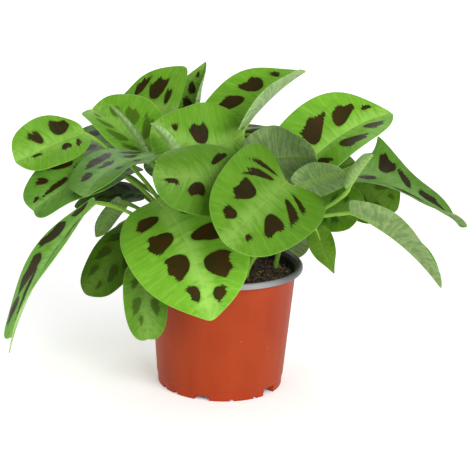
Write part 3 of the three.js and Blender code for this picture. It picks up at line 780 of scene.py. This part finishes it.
def stretched(tree, vector, *scale):
    """Vector with each part multiplied."""
    return add(tree, "ShaderNodeMapping", {"Vector": vector, "Scale": scale}).outputs[0]


def noise(tree, vector, scale, detail=2.0, rough=0.5):
    """Grey noise at a scale, between 0 and 1."""
    inputs = {"Vector": vector, "Scale": scale, "Detail": detail, "Roughness": rough}
    return add(tree, "ShaderNodeTexNoise", inputs).outputs["Fac"]


def new_material(name):
    """Empty material with its output, shader and object coordinates."""
    material = bpy.data.materials.new(name)
    material.use_nodes = True
    tree = material.node_tree
    tree.nodes.clear()
    shader = add(tree, "ShaderNodeBsdfPrincipled")
    add(tree, "ShaderNodeOutputMaterial", {"Surface": shader.outputs[0]})
    place = add(tree, "ShaderNodeTexCoord").outputs["Object"]
    return material, tree, shader, place


def finish_shader(tree, shader, colour, rough, height, strength, depth):
    """Links colour and roughness, and a bump of that strength and of a depth in millimetres."""
    tree.links.new(colour, shader.inputs["Base Color"])
    tree.links.new(rough, shader.inputs["Roughness"])
    inputs = {"Height": height, "Strength": strength, "Distance": depth * MM}
    bump = add(tree, "ShaderNodeBump", inputs)
    tree.links.new(bump.outputs[0], shader.inputs["Normal"])


def shade(colour, red, green, blue):
    """Colour with each part multiplied."""
    return (colour[0] * red, colour[1] * green, colour[2] * blue, 1)


def leaf_material(name, settings, green, pale, under, gloss):
    """Satin blade: green with a pale feathered band, dark blotches, fine side veins and a pale rim.

    The pattern follows the blade's own UV map, along and across, and the values of its points: the
    distances to the midrib, the margin and the nearest blotch, and the face that a point is on.
    """
    material, tree, shader, place = new_material(name)
    uv = add(tree, "ShaderNodeUVMap", uv_map="Blade").outputs[0]
    parts = add(tree, "ShaderNodeSeparateXYZ", {0: uv})
    along, across = parts.outputs[0], parts.outputs[1]
    tone = value_of(tree, "tone")
    streaks = noise(tree, stretched(tree, uv, 95, 7, 1), 1.0, 3.0)
    bands = noise(tree, stretched(tree, uv, 34, 5, 1), 1.0, 2.0)
    mottle = noise(tree, place, 90.0, 3.0)
    rib = value_of(tree, "rib")
    # Pale band beside the midrib, frayed along the side veins.
    feather = scaled(tree, bands, BAND_FRAY, -BAND_FRAY / 2)
    band = ramp(tree, calc(tree, "ADD", rib, feather), 1.0, 13.0, 0.8, 0.0)
    colour = tint(tree, band, green, pale)
    darker = shade(green, 0.6, 0.74, 0.55)
    colour = tint(tree, ramp(tree, mottle, 0.45, 0.75, 0.0, 0.4), colour, darker)
    colour = tint(tree, ramp(tree, bands, 0.48, 0.68, 0.0, 0.45), colour, shade(green, 0.72, 0.8, 0.7))
    colour = tint(tree, ramp(tree, streaks, 0.52, 0.72, 0.0, 0.28), colour, pale)
    # Side veins: a thin pale line at each, on the lines of constant u.
    veins = calc(tree, "MULTIPLY", along, float(settings.side_veins))
    close = calc(tree, "PINGPONG", veins, 0.5)
    colour = tint(tree, ramp(tree, close, 0.0, 0.1, 0.22, 0.0), colour, pale)
    # Blotches, jagged along the veins at their outer end, with a soft olive rim.
    jag = scaled(tree, streaks, BLOTCH_JAG, -BLOTCH_JAG / 2)
    jag = calc(tree, "MULTIPLY", jag, ramp(tree, value_of(tree, "outer"), -0.4, 0.7, 0.25, 1.1))
    edge = calc(tree, "ADD", value_of(tree, "blotch"), jag)
    spot = tint(tree, ramp(tree, mottle, 0.35, 0.65), settings.blotch, shade(settings.blotch, 1.6, 0.95, 1.0))
    halo = ramp(tree, edge, 0.0, 1.6, 0.45, 0.0)
    colour = tint(tree, halo, colour, darker)
    inside = ramp(tree, edge, -0.35, 0.35, 1.0, 0.0)
    shown = ramp(tree, value_of(tree, "faint"), 0.0, 1.0, 1.0, FAINT_SHARE)
    inside = calc(tree, "MULTIPLY", inside, shown)
    colour = tint(tree, inside, colour, spot)
    # Midrib and margin.
    colour = tint(tree, ramp(tree, rib, 0.3, 1.0, 0.4, 0.0), colour, pale)
    margin = value_of(tree, "margin")
    colour = tint(tree, ramp(tree, margin, 0.1, 0.5, 0.3, 0.0), colour, shade(pale, 1.15, 1.1, 1.2))
    # Lower face and stalk.
    side = value_of(tree, "under")
    below = tint(tree, ramp(tree, bands, 0.35, 0.65), under, shade(under, 0.62, 0.72, 0.6))
    # Pale lines at the side veins of the lower face: partly the veins' own colour, partly a painted sheen.
    below = tint(tree, ramp(tree, close, 0.0, 0.14, 0.35, 0.0), below, shade(under, 1.3, 1.25, 1.25))
    below = tint(tree, calc(tree, "MULTIPLY", inside, 0.22), below, shade(under, 0.35, 0.4, 0.4))
    below = tint(tree, ramp(tree, rib, 0.5, 1.6, 0.6, 0.0), below, settings.stalk)
    colour = tint(tree, ramp(tree, side, 0.45, 0.6), colour, below)
    stalk = tint(tree, ramp(tree, streaks, 0.4, 0.7), settings.stalk, shade(settings.stalk, 0.7, 0.75, 0.6))
    colour = tint(tree, ramp(tree, side, 1.4, 1.6), colour, stalk)
    # Each leaf's tone scales the value. It is partly the leaf's own colour and partly painted light and
    # shade.
    value = scaled(tree, tone, TONE_AND_SHADE_GAIN, 1.0)
    toned = add(tree, "ShaderNodeHueSaturation", {"Color": colour, "Value": value}).outputs[0]
    rough = scaled(tree, bands, 0.16, 0.4)
    shader.inputs["Specular IOR Level"].default_value = gloss
    shader.inputs["Subsurface Weight"].default_value = 0.12
    shader.inputs["Subsurface Radius"].default_value = (0.6, 1.0, 0.25)
    shader.inputs["Subsurface Scale"].default_value = 1.2 * MM
    ribs = calc(tree, "PINGPONG", calc(tree, "MULTIPLY", veins, FINE_RIBS), 0.5)
    height = calc(tree, "ADD", calc(tree, "MULTIPLY", ribs, 0.6), calc(tree, "MULTIPLY", streaks, 0.5))
    finish_shader(tree, shader, toned, rough, height, 0.3, 0.12)
    return material


class PRAYERPLANT_OT_leaves(bpy.types.Operator):
    """Builds every leaf: a thin pleated blade with its midrib, and its stalk down into the soil"""
    bl_idname = "prayerplant.leaves"
    bl_label = "Leaves"

    def execute(self, context):
        settings = context.scene.prayer_plant_leaf
        green, pale, under = settings.green, settings.pale, settings.under
        materials = {
            "leaf_green": leaf_material("leaf green", settings, green, pale, under, GREEN_GLOSS),
            "leaf_grey_green": leaf_material(
                "leaf grey green", settings, shade(green, 0.95, 0.98, 1.6), shade(pale, 0.9, 0.98, 1.2),
                under, GREY_GLOSS),
            # Painted shade: a darker copy of the green, blade and lower face, for leaves deep in the shade of
            # the clump.
            "leaf_dark": leaf_material(
                "leaf painted shade", settings, shade(green, 0.5, 0.5, 0.3), shade(pale, 0.45, 0.48, 0.3),
                shade(under, 0.6, 0.6, 0.6), PAINTED_SHADE_GLOSS),
        }
        for number, row in enumerate(LEAVES):
            leaf = Leaf(row)
            steps = BACK_STEPS if leaf.name.startswith(BACK_LEAVES) else FRONT_STEPS
            surface, values, uv = blade_shell(leaf, settings, *steps, number)
            tube, tube_values, tube_uv = stalk_tube(leaf, settings)
            values = {k: np.concatenate([values[k], tube_values[k]]) for k in values}
            count = len(values["under"])
            values["tone"] = np.full(count, leaf.tone)
            values["faint"] = np.full(count, float(leaf.name in FAINT_LEAVES))
            put_piece(f"leaf_{leaf.name}_fine", join([surface, tube]), materials[leaf.slot],
                      [f"leaf_{leaf.name}"], values, np.concatenate([uv, tube_uv]))
        return {"FINISHED"}


def rounded(profile, radius, steps):
    """Profile whose corners are replaced by short curves.

    The curve is a (1 - t)^2 + p 2 t (1 - t) + b t^2, where p is the corner and a and b lie before
    and after it, at the radius or, on a short side, at the largest share of that side.
    """
    p = np.array(profile, float)
    before, corner, after = p[:-2], p[1:-1], p[2:]
    back, on = before - corner, after - corner
    a = corner + back * np.minimum(radius / np.linalg.norm(back, axis=1), CORNER_SHARE)[:, None]
    b = corner + on * np.minimum(radius / np.linalg.norm(on, axis=1), CORNER_SHARE)[:, None]
    t = np.linspace(0, 1, steps)[None, :, None]
    curves = a[:, None] * (1 - t) ** 2 + corner[:, None] * 2 * t * (1 - t) + b[:, None] * t * t
    return np.concatenate([p[:1], curves.reshape(-1, 2), p[-1:]])


def pot_material(settings):
    """Thin matt plastic, terracotta outside with flow streaks and specks, near black inside."""
    material, tree, shader, place = new_material("pot plastic")
    parts = add(tree, "ShaderNodeSeparateXYZ", {0: place})
    height = parts.outputs[2]
    streaks = noise(tree, stretched(tree, place, 1, 1, 0.12), 60.0, 3.0)
    cloud = noise(tree, place, 24.0, 3.0)
    fine = noise(tree, place, 900.0, 3.0)
    outside = settings.terracotta
    colour = tint(tree, ramp(tree, streaks, 0.35, 0.7), outside, shade(outside, 0.86, 0.8, 0.8))
    colour = tint(tree, ramp(tree, cloud, 0.35, 0.7, 0.0, 0.5), colour, shade(outside, 1.08, 1.2, 1.25))
    foot = ramp(tree, height, 1 * MM, 12 * MM, 0.55, 0.0)
    colour = tint(tree, foot, colour, shade(outside, 1.1, 0.8, 0.8))
    speck = add(tree, "ShaderNodeTexVoronoi", {"Vector": place, "Scale": 75.0}).outputs["Distance"]
    colour = tint(tree, ramp(tree, speck, 0.03, 0.07, 0.6, 0.0), colour, shade(outside, 1.3, 3.2, 5.0))
    inside = value_of(tree, "lining")
    dark = settings.lining
    lining = tint(tree, ramp(tree, cloud, 0.35, 0.7), dark, shade(dark, 1.9, 1.8, 1.7))
    # Painted highlight: the rolled lip turns a lighter grey along its outer edge, fading out towards the
    # right.
    flat = add(tree, "ShaderNodeVectorMath", {"Vector": place}, operation="MULTIPLY")
    flat.inputs[1].default_value = (1, 1, 0)
    radius = add(tree, "ShaderNodeVectorMath", {0: flat.outputs[0]}, operation="LENGTH").outputs["Value"]
    inner, outer = (settings.rim_radius - way * MM for way in LIP_HIGHLIGHT_EDGE)
    lip_highlight = ramp(tree, radius, inner, outer, 0.0, 0.7)
    fading = ramp(tree, parts.outputs[0], LIP_HIGHLIGHT_FADE[0] * MM, LIP_HIGHLIGHT_FADE[1] * MM, 1.0, 0.25)
    lip_highlight = calc(tree, "MULTIPLY", lip_highlight, fading)
    lining = tint(tree, lip_highlight, lining, shade(dark, 13.0, 12.5, 12.0))
    colour = tint(tree, ramp(tree, inside, 0.4, 0.6), colour, lining)
    rough = scaled(tree, streaks, 0.14, 0.4)
    rough = calc(tree, "SUBTRACT", rough, calc(tree, "MULTIPLY", inside, 0.18))
    shader.inputs["Specular IOR Level"].default_value = POT_GLOSS
    grain = calc(tree, "ADD", calc(tree, "MULTIPLY", fine, 0.5), streaks)
    finish_shader(tree, shader, colour, rough, grain, 0.25, 0.1)
    return material


class PRAYERPLANT_OT_pot(bpy.types.Operator):
    """Builds the nursery pot: a turned thin wall with a rolled rim and a notched foot ring"""
    bl_idname = "prayerplant.pot"
    bl_label = "Pot"

    def execute(self, context):
        s = context.scene.prayer_plant_pot
        high, lip, foot, wall = s.height / MM, s.rim_radius / MM, s.foot_radius / MM, s.wall / MM
        slope = (s.top_radius / MM - foot) / high

        def at(z):
            return foot + slope * z

        low = [[0, BASE_LIFT], [foot - RING_JOIN, BASE_LIFT], [foot - RING_GROUND, 0], [foot, 0],
               [at(FOOT_BAND_HEIGHT), FOOT_BAND_HEIGHT],
               [at(FOOT_BAND_HEIGHT) + FOOT_BAND_STEP, FOOT_BAND_HEIGHT + FOOT_BAND_RISE]]
        under = high - RIM_DROP - RIM_UNDERCUT
        rim = [[at(under) + FOOT_BAND_STEP, under],
               *([lip - inside, high - below] for inside, below in RIM_CURL),
               [at(high - 3) - wall + FOOT_BAND_STEP, high - LINING_DROP]]
        floor = [[at(FOOT_BAND_HEIGHT) - wall + FOOT_BAND_STEP, BASE_LIFT + 2.4],
                 [foot - RING_JOIN_TOP, BASE_LIFT + wall], [0, BASE_LIFT + wall]]
        profile = rounded(low + rim + floor, CORNER_RADIUS, CORNER_STEPS)
        radius, height = profile[1:-1, 0], profile[1:-1, 1]
        starts = np.array([a for a, _, _ in FOOT_NOTCHES], float)
        widths = np.degrees([w / 2 / (foot - 1) for _, w, _ in FOOT_NOTCHES])
        sides = [starts + k * widths + d for k in (-1, 1) for d in (-NOTCH_SIDE, NOTCH_SIDE)]
        edges = np.concatenate(sides)
        angle = np.unique(np.round(np.concatenate([np.arange(0, 360, POT_STEP), edges % 360]), 3))
        away = np.abs((angle[:, None] - starts + 180) % 360 - 180)
        depths = np.array([h for _, _, h in FOOT_NOTCHES])
        lift = np.max(np.where(away < widths, depths, 0), axis=1)
        turn = np.radians(angle)
        # A notch lifts the ring's lowest points by its height, those above less and the base not at all.
        share = np.clip(1 - height / (FOOT_BAND_HEIGHT - FOOT_BAND_RISE), 0, 1)[:, None]
        share = share * (radius > foot - RING_JOIN - 0.5)[:, None]
        z = height[:, None] + lift * share
        rings = np.stack([radius[:, None] * np.cos(turn), radius[:, None] * np.sin(turn), z], axis=-1)
        surface = skin(rings, [0, 0, BASE_LIFT], [0, 0, BASE_LIFT + wall])
        # The dark lining begins with the rim, after the points of the corners below it.
        lined = np.arange(1, len(profile) - 1) > 1 + len(low) * CORNER_STEPS
        lined = np.concatenate([np.repeat(lined.astype(float), len(angle)), [0, 1]])
        put_piece("pot_fine", surface, pot_material(s), ["pot"],
                  {"lining": lined}, crease=math.radians(40))
        return {"FINISHED"}


def soil_height(x, y, settings):
    """Height of the soil at x and y, all in millimetres.

    It is the soil's level plus products of two sines: a swell of about 50 mm, a ripple of 13 mm at
    0.7 of its height, and, with bent waves, crumbs of 3.5 mm and grit of 1.6 mm.
    """
    swell = np.sin(x * 0.13 + 1) * np.cos(y * 0.11)
    ripple = np.sin(x * 0.41 + y * 0.29) * np.cos(x * 0.23 - y * 0.37)
    rough = np.sin(x * 1.7 + 2 * np.sin(y * 1.1)) * np.sin(y * 1.9 + 2 * np.sin(x * 0.9 + 1))
    grit = np.sin(x * 4.1 + 3 * np.sin(y * 2.7)) * np.sin(y * 3.7 + 3 * np.sin(x * 2.3 + 2))
    return settings.top / MM + settings.lump / MM * (swell + 0.7 * ripple) + 0.35 * rough + 0.2 * grit


def soil_inside(z):
    """Radius of the soil at height z, just inside the pot's wall."""
    flare = WALL_TOP_RADIUS - FOOT_RADIUS
    return FOOT_RADIUS + flare * z / POT_HEIGHT - WALL + FOOT_BAND_STEP - SOIL_WALL_GAP


def soil_material(name, colour, light, sparkle):
    """Crumbly peat or fibre, mottled from its colour to a lighter one."""
    material, tree, shader, place = new_material(name)
    coarse = noise(tree, place, 260.0, 4.0, 0.65)
    fine = noise(tree, place, 1300.0, 3.0, 0.6)
    mixed = tint(tree, ramp(tree, coarse, 0.35, 0.75), colour, light)
    mixed = tint(tree, ramp(tree, fine, 0.58, 0.66, 0.0, sparkle), mixed, shade(light, 6.5, 5.0, 3.8))
    rough = ramp(tree, coarse, 0.3, 0.7, 0.95, 0.7)
    height = calc(tree, "ADD", coarse, calc(tree, "MULTIPLY", fine, 0.5))
    finish_shader(tree, shader, mixed, rough, height, 0.8, 0.5)
    return material


class PRAYERPLANT_OT_soil(bpy.types.Operator):
    """Builds the soil that fills the pot, with its lumpy, crumbly top"""
    bl_idname = "prayerplant.soil"
    bl_label = "Soil"

    def execute(self, context):
        s = context.scene.prayer_plant_soil
        top = s.top / MM
        floor = BASE_LIFT + WALL + SOIL_BASE_GAP
        angle = np.linspace(0, TURN, SOIL_SPOKES, endpoint=False)
        edge = soil_inside(top)
        spokes = np.linspace(0, 1, SOIL_RINGS)[1:] * (edge - 0.2)
        r, a = np.meshgrid(spokes, angle, indexing="ij")
        x, y = r * np.cos(a), r * np.sin(a)
        z = soil_height(x, y, s)
        z = np.where(r > edge - SOIL_EDGE, z - (r - edge + SOIL_EDGE) * SOIL_EDGE_SLOPE, z)
        rings = np.stack([x, y, z], axis=-1)
        # Down along the wall, round its foot and in under the soil.
        side = [[soil_inside(z), z] for z in (SOIL_WAIST, floor + SOIL_FOOT)]
        base = [[r, floor] for r in SOIL_BASE_RINGS]
        down = np.array([[edge, top - SOIL_SHOULDER], *side, *base])
        r, a = np.meshgrid(down[:, 0], angle, indexing="ij")
        walls = np.stack([r * np.cos(a), r * np.sin(a), np.repeat(down[:, 1:], len(angle), axis=1)], axis=-1)
        middle = float(soil_height(np.zeros(1), np.zeros(1), s)[0])
        surface = skin(np.concatenate([rings, walls]), [0, 0, middle], [0, 0, floor])
        material = soil_material("peat", s.peat, shade(s.peat, 2.6, 2.3, 2.0), 0.5)
        put_piece("soil_fine", surface, material, ["soil"])
        return {"FINISHED"}


def scatter(rng, count, spread, settings):
    """Points on the soil, evenly over the disc of that radius."""
    r = spread * np.sqrt(rng.uniform(0, 1, count))
    a = rng.uniform(0, TURN, count)
    x, y = r * np.cos(a), r * np.sin(a)
    return np.stack([x, y, soil_height(x, y, settings)], axis=-1)


def crumb(rng, at):
    """Crumb at a point: a ball of three rings, stretched, with its points moved in or out."""
    size = rng.uniform(*CRUMB_SIZE)
    angle = np.linspace(0, TURN, BITS_SIDES, endpoint=False)
    lat = np.radians(CRUMB_RINGS)[:, None]
    bumps = rng.uniform(*CRUMB_BUMPS, (len(lat), BITS_SIDES))
    ball = np.stack([np.cos(lat) * np.cos(angle), np.cos(lat) * np.sin(angle),
                     np.sin(lat) * np.ones(BITS_SIDES)], axis=-1) * bumps[..., None]
    middle = at + [0, 0, 0.2 * size]
    pole = np.array([0, 0, 0.8 * size])
    return skin(ball * size * rng.uniform(*CRUMB_STRETCH, 3) + middle, middle - pole, middle + pole)


def fibre(rng, at):
    """Fibre at a point: a thin round rod along t ahead + bow t^2 aside, for t from -1 to 1.

    Both vectors are the reach long, ahead leans up or down, and the radius falls with t^2.
    """
    reach, thick = rng.uniform(*FIBRE_REACH), rng.uniform(*FIBRE_RADIUS)
    turn, bow, lean = rng.uniform(0, TURN), rng.normal(0, FIBRE_BOW), rng.normal(0, FIBRE_LEAN)
    ahead = np.array([math.cos(turn), math.sin(turn), lean])
    aside = np.array([-math.sin(turn), math.cos(turn), 0])
    t = np.linspace(-1, 1, FIBRE_STEPS)
    line = t[:, None] * reach * ahead + (t**2)[:, None] * bow * reach * aside
    line = line + [at[0], at[1], at[2] + 0.35 + abs(lean) * reach * 0.6]
    angle = np.linspace(0, TURN, BITS_SIDES, endpoint=False)
    ring = np.cos(angle)[:, None] * aside + np.sin(angle)[:, None] * np.array([0, 0, 1])
    radius = (1 - FIBRE_TAPER * t**2) * thick
    rings = line[:, None] + ring * radius[:, None, None]
    return skin(rings, line[0] - ahead * 0.1, line[-1] + ahead * 0.1)


class PRAYERPLANT_OT_soil_bits(bpy.types.Operator):
    """Strews crumbs of peat and thin fibres of coir and bark over the soil"""
    bl_idname = "prayerplant.soil_bits"
    bl_label = "Crumbs and fibres"

    def execute(self, context):
        s = context.scene.prayer_plant_soil
        rng = np.random.default_rng(s.seed)
        spread = soil_inside(s.top / MM) - BITS_MARGIN
        crumbs = [crumb(rng, at) for at in scatter(rng, s.crumbs, spread, s)]
        fibres = [fibre(rng, at) for at in scatter(rng, s.fibres, spread - 2, s)]
        peat = soil_material("crumbs", s.peat, shade(s.peat, 3.5, 3.1, 2.6), 0.6)
        coir = soil_material("fibres", shade(s.fibre, 0.35, 0.33, 0.3), s.fibre, 0.3)
        put_piece("soil_crumbs", join(crumbs), peat)
        put_piece("soil_fibres", join(fibres), coir)
        return {"FINISHED"}


def paper_floor(settings):
    """Large pale floor with a painted glow of its own, cut off as painted shade below the pot."""
    mesh = bpy.data.meshes.new("floor")
    corners = [(x * FLOOR_REACH, y * FLOOR_REACH, 0) for x, y in ((-1, -1), (1, -1), (1, 1), (-1, 1))]
    mesh.from_pydata(corners, [], [(0, 1, 2, 3)])
    floor = bpy.data.objects.new("floor", mesh)
    bpy.context.scene.collection.objects.link(floor)
    material, tree, shader, place = new_material("paper floor")
    grain = noise(tree, place, 3.0)
    colour = tint(tree, grain, settings.floor, shade(settings.floor, 0.985, 0.985, 0.985))
    tree.links.new(colour, shader.inputs["Base Color"])
    shader.inputs["Roughness"].default_value = 0.85
    # Painted shade: no glow within the shade radius below the pot, and further out the painted glow doubles
    # with distance.
    away = add(tree, "ShaderNodeVectorMath", {0: place}, operation="LENGTH").outputs["Value"]
    outside_painted_shade = ramp(tree, away, settings.shade_radius, settings.shade_radius * SHADE_SPREAD)
    painted_glow_colour = tint(tree, outside_painted_shade, (0, 0, 0, 1), (1, 1, 1, 1))
    tree.links.new(painted_glow_colour, shader.inputs["Emission Color"])
    glow = ramp(tree, away, *GLOW_RISE, settings.floor_glow, settings.floor_glow * 2)
    tree.links.new(glow, shader.inputs["Emission Strength"])
    mesh.materials.append(material)


def white_room(settings):
    """Even white light from all sides."""
    world = bpy.data.worlds.new("white room")
    world.use_nodes = True
    background = world.node_tree.nodes["Background"]
    background.inputs[0].default_value = (1, 1, 1, 1)
    background.inputs[1].default_value = settings.sky
    bpy.context.scene.world = world


def soft_light(name, place, size, power):
    """Square area light at a place, turned to the foot of the leaves."""
    lamp = bpy.data.lights.new(name, "AREA")
    lamp.shape, lamp.size, lamp.energy = "SQUARE", size, power
    light = bpy.data.objects.new(name, lamp)
    bpy.context.scene.collection.objects.link(light)
    light.location = place
    light.rotation_euler = (Vector(LIGHTS_AIM) - Vector(place)).to_track_quat("-Z", "Y").to_euler()


def aimed_camera(settings):
    """Camera that looks at its aim, with its right and up turned about that way by the roll."""
    at, aim = Vector(settings.camera_at), Vector(settings.camera_aim)
    ahead = (aim - at).normalized()
    right = ahead.cross(Vector((0, 0, 1))).normalized()
    up = right.cross(ahead)
    cosine, sine = math.cos(settings.camera_roll), math.sin(settings.camera_roll)
    side, top = right * cosine + up * sine, up * cosine - right * sine
    lens = bpy.data.cameras.new("camera")
    lens.lens, lens.sensor_width, lens.clip_start = settings.lens, SENSOR_WIDTH, NEAREST
    camera = bpy.data.objects.new("camera", lens)
    bpy.context.scene.collection.objects.link(camera)
    camera.matrix_world = Matrix.Translation(at) @ Matrix((side, top, -ahead)).transposed().to_4x4()
    bpy.context.scene.camera = camera


class PRAYERPLANT_OT_stage(bpy.types.Operator):
    """Sets the pale floor, the soft studio light and the camera at the photograph's angle"""
    bl_idname = "prayerplant.stage"
    bl_label = "Stage"

    def execute(self, context):
        s = context.scene.prayer_plant_stage
        paper_floor(s)
        white_room(s)
        for name, place, size, share in LIGHTS:
            soft_light(name, place, size, s.key * share)
        aimed_camera(s)
        context.scene.view_settings.view_transform = "Standard"
        return {"FINISHED"}


class PRAYERPLANT_PT_panel(bpy.types.Panel):
    """Buttons for each group of pieces, with their sizes and colours"""
    bl_idname = "PRAYERPLANT_PT_panel"
    bl_label = "Potted prayer plant"
    bl_space_type = "VIEW_3D"
    bl_region_type = "UI"
    bl_category = "Prayer plant"

    def draw(self, context):
        layout = self.layout
        for operators, group in PANEL_ROWS:
            box = layout.box()
            for operator in operators:
                box.operator(operator)
            settings = getattr(context.scene, group)
            for key in settings.bl_rna.properties.keys():
                if key not in {"rna_type", "name"}:
                    box.prop(settings, key)


PANEL_ROWS = [
    (["prayerplant.pot"], "prayer_plant_pot"),
    (["prayerplant.soil", "prayerplant.soil_bits"], "prayer_plant_soil"),
    (["prayerplant.leaves"], "prayer_plant_leaf"),
    (["prayerplant.stage"], "prayer_plant_stage"),
]
GROUPS = {
    "prayer_plant_pot": PrayerPlantPotSettings,
    "prayer_plant_soil": PrayerPlantSoilSettings,
    "prayer_plant_leaf": PrayerPlantLeafSettings,
    "prayer_plant_stage": PrayerPlantStageSettings,
}
CLASSES = [
    *GROUPS.values(),
    PRAYERPLANT_OT_pot,
    PRAYERPLANT_OT_soil,
    PRAYERPLANT_OT_soil_bits,
    PRAYERPLANT_OT_leaves,
    PRAYERPLANT_OT_stage,
    PRAYERPLANT_PT_panel,
]


def register():
    for one in CLASSES:
        bpy.utils.register_class(one)
    for name, group in GROUPS.items():
        setattr(bpy.types.Scene, name, bpy.props.PointerProperty(type=group))


def unregister():
    for name in GROUPS:
        delattr(bpy.types.Scene, name)
    for one in reversed(CLASSES):
        bpy.utils.unregister_class(one)


def main():
    register()
    bpy.ops.prayerplant.stage()
    bpy.ops.prayerplant.pot()
    bpy.ops.prayerplant.soil()
    bpy.ops.prayerplant.soil_bits()
    bpy.ops.prayerplant.leaves()


if __name__ == "__main__":
    main()
